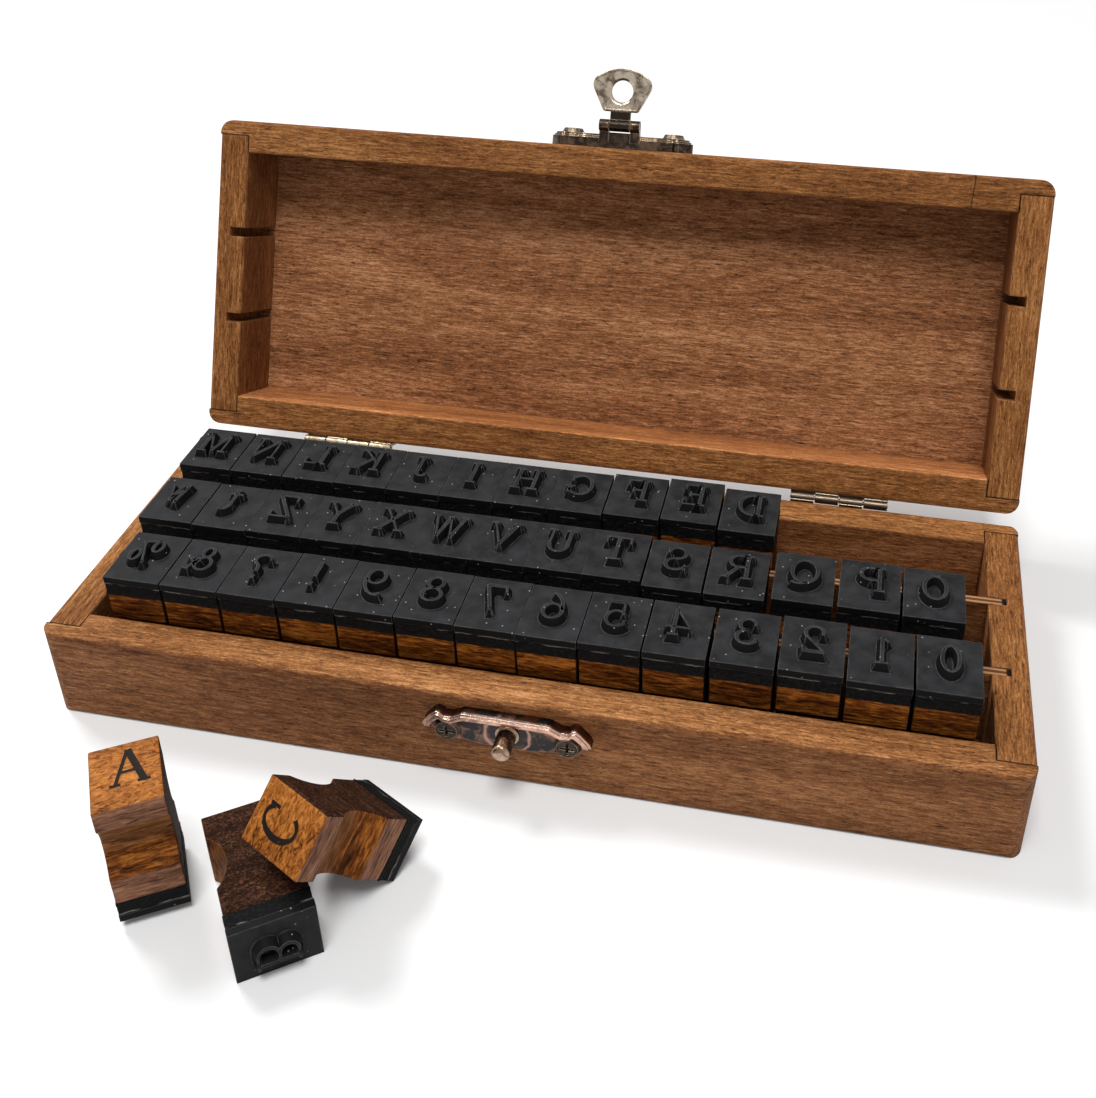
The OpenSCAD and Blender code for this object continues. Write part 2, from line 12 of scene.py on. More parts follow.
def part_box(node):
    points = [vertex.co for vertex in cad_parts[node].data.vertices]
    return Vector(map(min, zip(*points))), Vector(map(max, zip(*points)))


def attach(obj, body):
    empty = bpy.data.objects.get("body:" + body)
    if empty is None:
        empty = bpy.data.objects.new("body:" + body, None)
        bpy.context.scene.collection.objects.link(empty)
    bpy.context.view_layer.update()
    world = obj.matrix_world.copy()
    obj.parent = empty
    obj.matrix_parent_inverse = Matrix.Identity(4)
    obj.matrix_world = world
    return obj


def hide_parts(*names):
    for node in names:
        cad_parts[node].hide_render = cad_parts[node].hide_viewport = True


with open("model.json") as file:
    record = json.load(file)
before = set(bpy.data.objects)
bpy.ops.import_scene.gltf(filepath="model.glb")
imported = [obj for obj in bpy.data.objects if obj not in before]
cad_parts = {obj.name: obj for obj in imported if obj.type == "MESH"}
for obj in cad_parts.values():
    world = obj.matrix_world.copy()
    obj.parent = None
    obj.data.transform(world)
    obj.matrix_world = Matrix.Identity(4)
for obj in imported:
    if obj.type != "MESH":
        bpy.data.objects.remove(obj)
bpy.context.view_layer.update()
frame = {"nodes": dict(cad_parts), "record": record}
MM = 0.001
UP = (0, 0, 1)

# The lid's place, as in the frame
JOINTS = {joint["name"]: joint for joint in frame["record"]["behaviour"]["joints"]}
LID_OPEN = math.radians(-JOINTS["lid_hinge"]["range_deg"][0])
LID_AXIS = Vector(JOINTS["lid_hinge"]["pos_m"])
HASP_AT = Vector(JOINTS["hasp_pivot"]["pos_m"])
# Directions in the open lid: out of its rim, along its front-to-rear walls
LID_RIM = Vector((0, math.sin(-LID_OPEN), -math.cos(LID_OPEN)))
LID_ALONG = Vector((0, -math.cos(LID_OPEN), math.sin(LID_OPEN)))

# Distances from the middle of the box: a tongue's inner edge, a long wall's inner face and an
# end wall's inner face
TONGUE_Y, WALL_Y, INNER_X = 26.0 * MM, 22.9 * MM, 69.4 * MM
DIVIDER_Y, DIVIDER_HALF_T = 8.05 * MM, 0.72 * MM

# Sizes of a stamp, as in the frame
BLOCK_W, BLOCK_D, BLOCK_L = 9.1 * MM, 11.2 * MM, 17.3 * MM
CUSHION_T, DIE_T, DIE_OVER, RELIEF_H = 2.2 * MM, 1.2 * MM, 0.13 * MM, 1.4 * MM
GRIP_START, GRIP_L, GRIP_D = 3.5 * MM, 9.1 * MM, 2.05 * MM
STAMP_L = BLOCK_L + CUSHION_T + DIE_T
PITCH = BLOCK_W + 2 * DIE_OVER + 0.2 * MM

rng = random.Random(42)


class Nodes:
    """Short hand for building one material."""

    def __init__(self, name):
        self.mat = bpy.data.materials.new(name)
        self.mat.use_nodes = True
        self.tree = self.mat.node_tree
        self.tree.nodes.clear()
        self.out = self.add("ShaderNodeOutputMaterial")
        self.bsdf = self.add("ShaderNodeBsdfPrincipled")
        self.link(self.bsdf.outputs[0], self.out.inputs["Surface"])

    def add(self, kind, **props):
        node = self.tree.nodes.new(kind)
        for key, value in props.items():
            setattr(node, key, value)
        return node

    def link(self, a, b):
        self.tree.links.new(a, b)

    def put(self, socket, value):
        """Links another node's output to a socket, or sets the socket to a plain value."""
        if hasattr(value, "is_output"):
            self.link(value, socket)
        else:
            socket.default_value = value

    def math(self, op, a, b=0.0):
        node = self.add("ShaderNodeMath", operation=op)
        self.put(node.inputs[0], a)
        self.put(node.inputs[1], b)
        return node.outputs[0]

    def times(self, a, b):
        return self.math("MULTIPLY", a, b)

    def away(self, value, at=0.0):
        """Distance of a value from another one."""
        return self.math("ABSOLUTE", self.math("SUBTRACT", value, at))

    def blend(self, *parts):
        """Sum of values, each times its weight."""
        total, *rest = [self.times(value, weight) for value, weight in parts]
        for term in rest:
            total = self.math("ADD", total, term)
        return total

    def vector(self, op, a, b=(0, 0, 0)):
        node = self.add("ShaderNodeVectorMath", operation=op)
        self.put(node.inputs[0], a)
        self.put(node.inputs[1], b)
        return node.outputs["Value" if op in ("DOT_PRODUCT", "LENGTH") else "Vector"]

    def part(self, vector, axis):
        """One coordinate of a vector: 0 for X, 1 for Y, 2 for Z."""
        node = self.add("ShaderNodeSeparateXYZ")
        self.link(vector, node.inputs[0])
        return node.outputs[axis]

    def coords(self, turn=(0, 0, 0)):
        """Place in the frame, turned."""
        node = self.add("ShaderNodeMapping")
        self.link(self.add("ShaderNodeTexCoord").outputs["Object"], node.inputs["Vector"])
        node.inputs["Rotation"].default_value = turn
        return node.outputs[0]

    def noise(self, vector, scale, detail=4.0, rough=0.55, distort=0.0):
        node = self.add("ShaderNodeTexNoise")
        self.link(vector, node.inputs["Vector"])
        node.inputs["Scale"].default_value = scale
        node.inputs["Detail"].default_value = detail
        node.inputs["Roughness"].default_value = rough
        node.inputs["Distortion"].default_value = distort
        return node.outputs["Fac"]

    def wave(self, vector, scale, size, detail=3, rough=0.55):
        """Uneven shift of up to about half of size either way."""
        off = self.math("SUBTRACT", self.noise(vector, scale, detail, rough), 0.5)
        return self.times(off, size)

    def ramp(self, fac, places, colours):
        node = self.add("ShaderNodeValToRGB")
        self.put(node.inputs[0], fac)
        band = node.color_ramp
        while len(band.elements) < len(places):
            band.elements.new(0.5)
        for element, place, colour in zip(band.elements, places, colours):
            element.position = place
            element.color = (*colour, 1)
        return node.outputs[0]

    def span(self, value, low, high, new_low=0.0, new_high=1.0):
        """Takes low to new_low and high to new_high, and stays between them."""
        node = self.add("ShaderNodeMapRange")
        self.put(node.inputs[0], value)
        for i, x in enumerate((low, high, new_low, new_high)):
            node.inputs[i + 1].default_value = x
        return node.outputs[0]

    def mix(self, fac, a, b):
        node = self.add("ShaderNodeMix", data_type="RGBA")
        self.put(node.inputs[0], fac)
        for socket, value in ((node.inputs[6], a), (node.inputs[7], b)):
            self.put(socket, (*value, 1) if isinstance(value, tuple) else value)
        return node.outputs[2]

    def bump(self, height, strength, distance, normal=None):
        node = self.add("ShaderNodeBump")
        node.inputs["Strength"].default_value = strength
        node.inputs["Distance"].default_value = distance
        self.link(height, node.inputs["Height"])
        if normal:
            self.link(normal, node.inputs["Normal"])
        return node.outputs[0]

    def edges(self, radius, low=0.6, high=0.98):
        """1 on convex and concave edges and 0 on the flats, and the rounded normal."""
        bevel = self.add("ShaderNodeBevel", samples=6)
        bevel.inputs["Radius"].default_value = radius
        normal = self.add("ShaderNodeNewGeometry").outputs["Normal"]
        alike = self.vector("DOT_PRODUCT", bevel.outputs[0], normal)
        return self.span(alike, high, low), bevel.outputs[0]

    def facing(self, direction):
        """How far the surface faces a direction of the frame, -1 to 1."""
        normal = self.add("ShaderNodeTexCoord").outputs["Normal"]
        return self.vector("DOT_PRODUCT", normal, direction)

    def attribute(self, name, out="Vector"):
        return self.add("ShaderNodeAttribute", attribute_name=name).outputs[out]

    def own(self):
        """Place on one stamp in its own directions, moved by the stamp's random pick."""
        pick = self.attribute("pick", "Fac")
        shift = self.add("ShaderNodeCombineXYZ")
        for i, k in enumerate((0.31, 0.17, 0.53)):
            self.link(self.times(pick, k), shift.inputs[i])
        return self.vector("ADD", self.attribute("own"), shift.outputs[0])

    def own_z(self):
        return self.part(self.attribute("own"), 2)

    def own_facing(self, direction):
        """How far a face of a stamp looks in a direction of the stamp's own, -1 to 1."""
        return self.vector("DOT_PRODUCT", self.attribute("own_normal"), direction)

    def finish(self, colour, rough, normal=None, metal=0.0, spec=0.5):
        self.put(self.bsdf.inputs["Base Color"], colour)
        self.put(self.bsdf.inputs["Roughness"], rough)
        self.bsdf.inputs["Metallic"].default_value = metal
        self.bsdf.inputs["Specular IOR Level"].default_value = spec
        if normal:
            self.link(normal, self.bsdf.inputs["Normal"])
        return self.mat


# Camera, floor and light

FOCAL_PX, FRAME_W, FRAME_H = 1349.2, 1096, 1098
CENTRE_PX = (617.0, 358.1)
SENSOR = 36
CAMERA_AT = Vector((44.26, -165.74, 159.0)) * MM
AZIMUTH, ELEVATION, ROLL = 11.43, 30.63, -0.11

FLOOR_COLOUR, FLOOR_GLOW = (0.74, 0.74, 0.74, 1), 0.04
# Where the floor's shadows start to fade out, and where it is plain white, in metres
FADE_START, FADE_END = 0.22, 0.6
SOFT_LIGHT = 0.4


def turned(*steps):
    """Rotations in degrees, the outermost first: ("Z", 30), ("Y", 90)."""
    whole = Matrix.Identity(4)
    for axis, degrees in steps:
        whole = whole @ Matrix.Rotation(math.radians(degrees), 4, axis)
    return whole


def make_camera():
    data = bpy.data.cameras.new("camera")
    data.sensor_width = SENSOR
    data.sensor_fit = "VERTICAL"
    data.sensor_height = SENSOR
    data.lens = FOCAL_PX * SENSOR / FRAME_H
    data.shift_x = -(CENTRE_PX[0] - FRAME_W / 2) / FRAME_H
    data.shift_y = (CENTRE_PX[1] - FRAME_H / 2) / FRAME_H
    data.clip_start = 0.01
    camera = bpy.data.objects.new("camera", data)
    bpy.context.scene.collection.objects.link(camera)
    aim = turned(("Z", AZIMUTH), ("X", 90 - ELEVATION), ("Z", ROLL))
    camera.matrix_world = Matrix.Translation(CAMERA_AT) @ aim
    bpy.context.scene.camera = camera


def area(name, at, aim, size, power):
    """Square lamp at a place, aimed at another."""
    data = bpy.data.lights.new(name, "AREA")
    data.size = size
    data.energy = power
    lamp = bpy.data.objects.new(name, data)
    lamp.location = at
    lamp.rotation_euler = (Vector(aim) - Vector(at)).to_track_quat("-Z", "Y").to_euler()
    bpy.context.scene.collection.objects.link(lamp)


def seen_rays(tree):
    """1 for the rays that show the background: camera, glossy and transmission rays."""
    ray = tree.nodes.new("ShaderNodeLightPath")
    total = ray.outputs["Is Camera Ray"]
    for name in ("Is Glossy Ray", "Is Transmission Ray"):
        most = tree.nodes.new("ShaderNodeMath")
        most.operation = "MAXIMUM"
        tree.links.new(total, most.inputs[0])
        tree.links.new(ray.outputs[name], most.inputs[1])
        total = most.outputs[0]
    return total


def make_stage():
    """White floor that takes shadows near the object and is plain white far from it."""
    bpy.ops.mesh.primitive_plane_add(size=6, location=(0, 0, 0))
    floor = bpy.context.object
    floor.name = "floor"
    n = Nodes("floor")
    n.finish(FLOOR_COLOUR, 0.95, spec=0.0)
    glow, plain = (n.add("ShaderNodeEmission") for _ in range(2))
    for light, strength in ((glow, FLOOR_GLOW), (plain, 1.0)):
        light.inputs[0].default_value = (1, 1, 1, 1)
        light.inputs[1].default_value = strength
    near = n.add("ShaderNodeAddShader")
    n.link(n.bsdf.outputs[0], near.inputs[0])
    n.link(glow.outputs[0], near.inputs[1])
    seen = n.add("ShaderNodeMixShader")
    n.link(n.span(n.vector("LENGTH", n.coords()), FADE_START, FADE_END), seen.inputs[0])
    n.link(near.outputs[0], seen.inputs[1])
    n.link(plain.outputs[0], seen.inputs[2])
    pick = n.add("ShaderNodeMixShader")
    n.link(seen_rays(n.tree), pick.inputs[0])
    n.link(n.bsdf.outputs[0], pick.inputs[1])
    n.link(seen.outputs[0], pick.inputs[2])
    n.link(pick.outputs[0], n.out.inputs[0])
    floor.data.materials.append(n.mat)


def make_world():
    """Soft light all round, seen as a pale background."""
    world = bpy.data.worlds.new("world")
    bpy.context.scene.world = world
    world.use_nodes = True
    tree = world.node_tree
    tree.nodes.clear()
    out = tree.nodes.new("ShaderNodeOutputWorld")
    soft, pale = (tree.nodes.new("ShaderNodeBackground") for _ in range(2))
    soft.inputs[1].default_value = SOFT_LIGHT
    pale.inputs[1].default_value = 1.0
    pick = tree.nodes.new("ShaderNodeMixShader")
    tree.links.new(seen_rays(tree), pick.inputs[0])
    tree.links.new(soft.outputs[0], pick.inputs[1])
    tree.links.new(pale.outputs[0], pick.inputs[2])
    tree.links.new(pick.outputs[0], out.inputs[0])


make_camera()
make_stage()
make_world()
area("key", at=(-0.5, 0.35, 0.85), aim=(0, 0, 0.02), size=0.3, power=7.5)
area("top", at=(0.05, -0.36, 1.1), aim=(0, 0, 0.03), size=0.45, power=10.5)
bpy.context.scene.view_settings.view_transform = "Standard"


def dress(node, material):
    """Gives a CAD node that keeps its shape its material."""
    piece = frame["nodes"][node]
    piece.data.materials.clear()
    piece.data.materials.append(material)


# Wood of the box, the lid and the slats: dark, middle and light tones, on faces and on rims

STAIN = ((0.06, 0.018, 0.005), (0.215, 0.08, 0.026), (0.46, 0.21, 0.085))
RIM_STAIN = ((0.06, 0.018, 0.004), (0.215, 0.08, 0.021), (0.46, 0.21, 0.07))
RUBBED_WOOD, GAP_COLOUR = (0.5, 0.26, 0.12), (0.012, 0.005, 0.002)
LAYERS, NOTCH_END = ((0.1, 0.036, 0.012), (0.36, 0.195, 0.09)), (0.006, 0.003, 0.002)
SEAM_W = 0.13 * MM


def seams(n, along, zero):
    """Dark lines at the joints of the walls.

    along is the direction from front to rear, and zero is how far the middle lies in it.
    """
    wave = n.wave(n.coords(), 700, 0.25 * MM)
    x = n.math("ADD", n.away(n.part(n.coords(), 0)), wave)
    y = n.math("ADD", n.away(n.vector("DOT_PRODUCT", n.coords(), along), zero), wave)

    def near(value, at):
        return n.span(n.away(value, at), SEAM_W, 0.3 * SEAM_W)

    tongue = n.times(near(y, TONGUE_Y), n.math("GREATER_THAN", x, INNER_X - 0.1 * MM))
    between = n.times(n.math("GREATER_THAN", y, WALL_Y), n.math("LESS_THAN", y, TONGUE_Y))
    return n.math("MAXIMUM", tongue, n.times(near(x, INNER_X), between))


def crack_line(n, at_x, rim):
    """Wavy crack across a rim."""
    x = n.math("ADD", n.part(n.coords(), 0), n.wave(n.coords(), 250, 1.2 * MM))
    line = n.span(n.away(x, at_x), 0.14 * MM, 0.05 * MM)
    return n.times(line, n.span(n.facing(rim), 0.3, 0.6))


def slat_top(n, middle_y, end_x):
    """Three layers, the middle one dark, with the dark ends of the notches."""
    off = n.away(n.part(n.coords(), 1), middle_y)
    layers = n.ramp(n.span(off, 0, DIVIDER_HALF_T), (0.34, 0.42), LAYERS)
    end = n.span(n.away(n.part(n.coords(), 0)), end_x - 0.8 * MM, end_x - 0.5 * MM)
    return n.mix(end, layers, NOTCH_END)


def wood(name, turn, rim, joints, shade=1.0, seed=0.0, rim_shade=(1, 1, 1), crack=0.0,
         slat=None):
    """Stained wood.

    turn brings the grain onto X, rim is the direction that the open rim faces, and joints is
    what seams() takes. shade is for the faces and rim_shade for what faces as the rim does;
    on some walls these hold painted light as well as the wood's tone.
    A crack crosses the rim at that X. A slat is given by its middle Y and the X of its ends.
    """
    n = Nodes(name)
    place = n.vector("ADD", n.coords(turn), (seed, seed * 0.37, seed * 0.71))

    def grain(along, across, *look):
        return n.noise(n.vector("MULTIPLY", place, (along, across, across)), 1.0, *look)

    broad = grain(16, 130, 3, 0.5, 0.6)
    fibres = grain(270, 2500, 5, 0.75, 0.6)
    pores = grain(560, 3400, 3, 0.65, 0.5)
    fine = grain(1500, 4200, 3, 0.7, 1.0)
    tone = n.blend((broad, 0.2), (fibres, 0.5), (fine, 0.3))
    face_tones = [tuple(c * shade for c in tint) for tint in STAIN]
    rim_tones = [tuple(a * b for a, b in zip(tint, rim_shade)) for tint in RIM_STAIN]
    colour = n.mix(n.span(n.facing(rim), 0.75, 0.98),
                   n.ramp(tone, (0.38, 0.5, 0.62), face_tones),
                   n.ramp(tone, (0.39, 0.5, 0.61), rim_tones))
    pore_tint = tuple(0.35 * c for c in face_tones[0])
    colour = n.mix(n.times(n.span(pores, 0.43, 0.31), 0.85), colour, pore_tint)
    edge, rounded = n.edges(0.6 * MM)
    worn = n.times(edge, n.span(n.noise(n.coords(), 420, 4, 0.7), 0.42, 0.6))
    colour = n.mix(n.times(worn, 0.75), colour, RUBBED_WOOD)
    line = seams(n, *joints)
    if crack:
        line = n.math("MAXIMUM", line, n.times(crack_line(n, crack, rim), 0.8))
    colour = n.mix(n.times(line, 0.9), colour, GAP_COLOUR)
    if slat:
        colour = n.mix(n.facing(rim), colour, slat_top(n, *slat))
    height = n.blend((fibres, 0.7), (pores, 0.6), (fine, 0.7), (line, -1.0))
    rough = n.span(fibres, 0.3, 0.7, 0.7, 0.48)
    return n.finish(colour, rough, n.bump(height, 0.7, 0.28 * MM, rounded), spec=0.1)


BOX_JOINTS = ((0, 1, 0), 0.0)
LID_JOINTS = (tuple(LID_ALONG), LID_AXIS.dot(LID_ALONG) + LID_AXIS.y)
STRAIGHT, BOX_TURN = (0, 0, 0), (0, 0, -math.pi / 2)
LID_TURN = (LID_OPEN - math.pi, 0, -math.pi / 2)
WOODS = (("box_front_wall", STRAIGHT), ("box_rear_wall", STRAIGHT), ("box_left_end", BOX_TURN),
         ("box_right_end", BOX_TURN), ("box_floor", STRAIGHT), ("lid_front_wall", STRAIGHT),
         ("lid_rear_wall", STRAIGHT), ("lid_left_end", LID_TURN), ("lid_right_end", LID_TURN),
         ("lid_panel", STRAIGHT))
# The lid's rear wall is twice as light all over, as painted light for the light that falls on its
# inside face. The box's front wall is darker.
FACE_TONES_AND_PAINTED_LIGHT = {"lid_rear_wall": 2.0, "box_front_wall": 0.88}
# The lid's panel and the box front wall's rim are lighter, partly as the wood's tone and partly as
# painted light from above. The box rear wall's rim is lighter and the right end's rim darker.
RIM_TONES_AND_PAINTED_LIGHT = {"lid_panel": (1.35, 1.44, 2.1), "box_front_wall": (1.35, 1.45, 1.75),
              "box_rear_wall": (1.2, 1.25, 1.35), "box_right_end": (0.87, 0.85, 0.83)}
CRACKS = {"lid_front_wall": 61.7 * MM}
WOOD_STEP, PLY_STEP = 1.7, 300

for i, (node, turn) in enumerate(WOODS):
    rim, joints = (tuple(LID_RIM), LID_JOINTS) if node.startswith("lid") else (UP, BOX_JOINTS)
    dress(node, wood("wood_" + node, turn, rim, joints, FACE_TONES_AND_PAINTED_LIGHT.get(node, 1.0), i * WOOD_STEP,
                     RIM_TONES_AND_PAINTED_LIGHT.get(node, (1, 1, 1)), CRACKS.get(node, 0.0)))
for node, y in (("divider_front", -DIVIDER_Y), ("divider_rear", DIVIDER_Y)):
    dress(node, wood("ply_" + node, STRAIGHT, UP, BOX_JOINTS, 0.8, y * PLY_STEP,
                     slat=(y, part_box(node)[1].x)))


# Metal of the latch and the hinges

def metal(name, bright, patina, edge_tint, rough, amount, edge_r, special=None):
    """Aged metal.

    A share, amount, of bright patches in a dark patina, polished edges as wide as edge_r, and
    the tints of special's masks.
    """
    n = Nodes(name)
    patch = n.noise(n.coords(), 460, 4, 0.6, 0.8)
    fine = n.noise(n.coords(), 3800, 3, 0.6)
    shift = 0.2 * (0.5 - amount)
    colour = n.mix(n.span(patch, 0.42 + shift, 0.6 + shift), patina, bright)
    colour = n.mix(n.times(n.span(fine, 0.55, 0.75), 0.35), colour, patina)
    gloss = n.span(patch, 0.35, 0.65, rough + 0.12, rough - 0.06)
    if special:
        for mask, tint in special(n):
            colour = n.mix(mask, colour, tint)
    edge, rounded = n.edges(edge_r, 0.7, 0.985)
    worn = n.times(edge, n.span(n.noise(n.coords(), 260, 2), 0.25, 0.5))
    colour = n.mix(n.times(worn, 0.9), colour, edge_tint)
    height = n.blend((patch, 1.0), (fine, 0.2))
    return n.finish(colour, gloss, n.bump(height, 0.4, 0.18 * MM, rounded), metal=1.0)


def from_axis(n, axis, at):
    """Distance from a line along an axis, 0 for X and 1 for Y, through a point."""
    across = tuple(float(i != axis) for i in range(3))
    return n.vector("LENGTH", n.vector("MULTIPLY", n.vector("SUBTRACT", n.coords(), at), across))


STUD_AT = (0.2 * MM, 0, 10.6 * MM)
LIP_START, LIP_FULL = -29.85 * MM, -30.05 * MM
SCREW_HEAD_R = 2.05 * MM


def plate_masks(n):
    """A dark hollow and a copper ring round the stud, and a copper lip with painted shade on top.
    """
    away = n.math("ADD", from_axis(n, 1, STUD_AT), n.wave(n.coords(), 500, 1.2 * MM))
    hollow = n.span(away, 3.3 * MM, 2.2 * MM)
    ring = n.times(n.span(away, 3.1 * MM, 3.4 * MM), n.span(away, 3.8 * MM, 3.5 * MM))
    lip = n.span(n.part(n.coords(), 1), LIP_START, LIP_FULL)
    patches = n.span(n.noise(n.coords(), 420, 4, 0.65), 0.25, 0.6)
    return ((hollow, (0.035, 0.032, 0.032)),
            (n.times(ring, 0.7), (0.48, 0.28, 0.21)),
            (n.times(lip, patches), (0.72, 0.42, 0.31)),
            # Painted shade: the lip is darker where it faces up.
            (n.times(lip, n.span(n.facing(UP), 0.4, 0.8)), (0.34, 0.26, 0.22)))


def cross_masks(n):
    """Dark dish inside the rim of the box's two screw heads, and in it a black cross of painted
    shade for the cross slot.
    """
    low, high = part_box("latch_box_screws")
    side = n.away(n.part(n.coords(), 0), (low.x + high.x) / 2)
    x = n.math("SUBTRACT", side, (high.x - low.x) / 2 - SCREW_HEAD_R)
    z = n.math("SUBTRACT", n.part(n.coords(), 2), (low.z + high.z) / 2)
    away = n.math("SQRT", n.math("ADD", n.times(x, x), n.times(z, z)))
    bar = n.math("MINIMUM", n.math("ABSOLUTE", x), n.math("ABSOLUTE", z))
    cross = n.times(n.span(bar, 0.42 * MM, 0.3 * MM), n.span(away, 1.5 * MM, 1.35 * MM))
    return ((n.times(n.span(away, 1.7 * MM, 1.45 * MM), 0.85), (0.035, 0.03, 0.026)),
            # Painted shade: the black cross stands for the shade inside the screw's cross slot.
            (cross, (0.004, 0.004, 0.004)))


def hasp_masks(n):
    """Dark metal round the hasp's pivot."""
    return ((n.span(from_axis(n, 0, HASP_AT), 3.0 * MM, 2.4 * MM), (0.03, 0.022, 0.017)),)


def hinge_masks(n):
    """The right hinge is darker than the left one."""
    return ((n.math("GREATER_THAN", n.part(n.coords(), 0), 0.0), (0.1, 0.075, 0.055)),)


# For each node: bright metal, patina, edges, roughness, share of bright patches, width of the
# edges and masks
HINGE_LEAF = ((0.409, 0.343, 0.238), (0.198, 0.152, 0.099), (0.561, 0.488, 0.356),
              0.3, 0.6, 0.15 * MM, hinge_masks)
HINGE_NAIL = ((0.363, 0.304, 0.218), (0.165, 0.132, 0.0924), (0.495, 0.429, 0.317),
              0.32, 0.6, 0.1 * MM)
METALS = {
    "latch_box_plate": ((0.238, 0.125, 0.0891), (0.033, 0.0304, 0.031), (0.66, 0.436, 0.33),
                        0.2, 0.3, 0.3 * MM, plate_masks),
    "latch_stud": ((0.475, 0.33, 0.238), (0.185, 0.112, 0.0726), (0.66, 0.528, 0.422),
                   0.18, 0.65, 0.3 * MM),
    "latch_box_screws": ((0.224, 0.158, 0.112), (0.0594, 0.0462, 0.0363), (0.495, 0.343, 0.238),
                         0.28, 0.6, 0.22 * MM, cross_masks),
    "latch_lid_plate": ((0.125, 0.0825, 0.0561), (0.0297, 0.0218, 0.0172), (0.561, 0.396, 0.264),
                        0.2, 0.4, 0.26 * MM),
    "latch_lid_screws": ((0.238, 0.185, 0.125), (0.0528, 0.0396, 0.0297), (0.462, 0.37, 0.251),
                         0.28, 0.5, 0.15 * MM),
    "latch_pin": ((0.198, 0.145, 0.099), (0.0396, 0.0297, 0.0231), (0.462, 0.363, 0.251),
                  0.25, 0.5, 0.15 * MM),
    "latch_hasp": ((0.52, 0.44, 0.345), (0.12, 0.088, 0.062), (0.5, 0.33, 0.2),
                   0.24, 0.7, 0.24 * MM, hasp_masks),
    "hinge_box_leaves": HINGE_LEAF,
    "hinge_lid_leaves": HINGE_LEAF,
    "hinge_pins": ((0.198, 0.158, 0.106), (0.066, 0.0528, 0.0396), (0.396, 0.33, 0.231),
                   0.3, 0.5, 0.1 * MM),
    "hinge_box_nails": HINGE_NAIL,
    "hinge_lid_nails": HINGE_NAIL,
}
for node, look in METALS.items():
    dress(node, metal("metal_" + node, *look))


# Characters: strokes in a box of height 1. ("l", x0, y0, x1, y1, heavy) is a line,
# ("a", cx, cy, rx, ry, start, end) an arc in degrees, ("s", x, y, half) a serif and
# ("d", x, y, radius) a dot. THIN and THICK are the widths of strokes.

THIN, THICK = 0.055, 0.105


def stem(x):
    """Heavy upright stroke with a serif at each end."""
    return [("l", x, 0, x, 1, 1), ("s", x, 0, 0.16), ("s", x, 1, 0.16)]


def drops(*ends):
    """Short upright serifs at the ends of arms: (x, y, length)."""
    return [("l", x, y, x, y + length, 0) for x, y, length in ends]


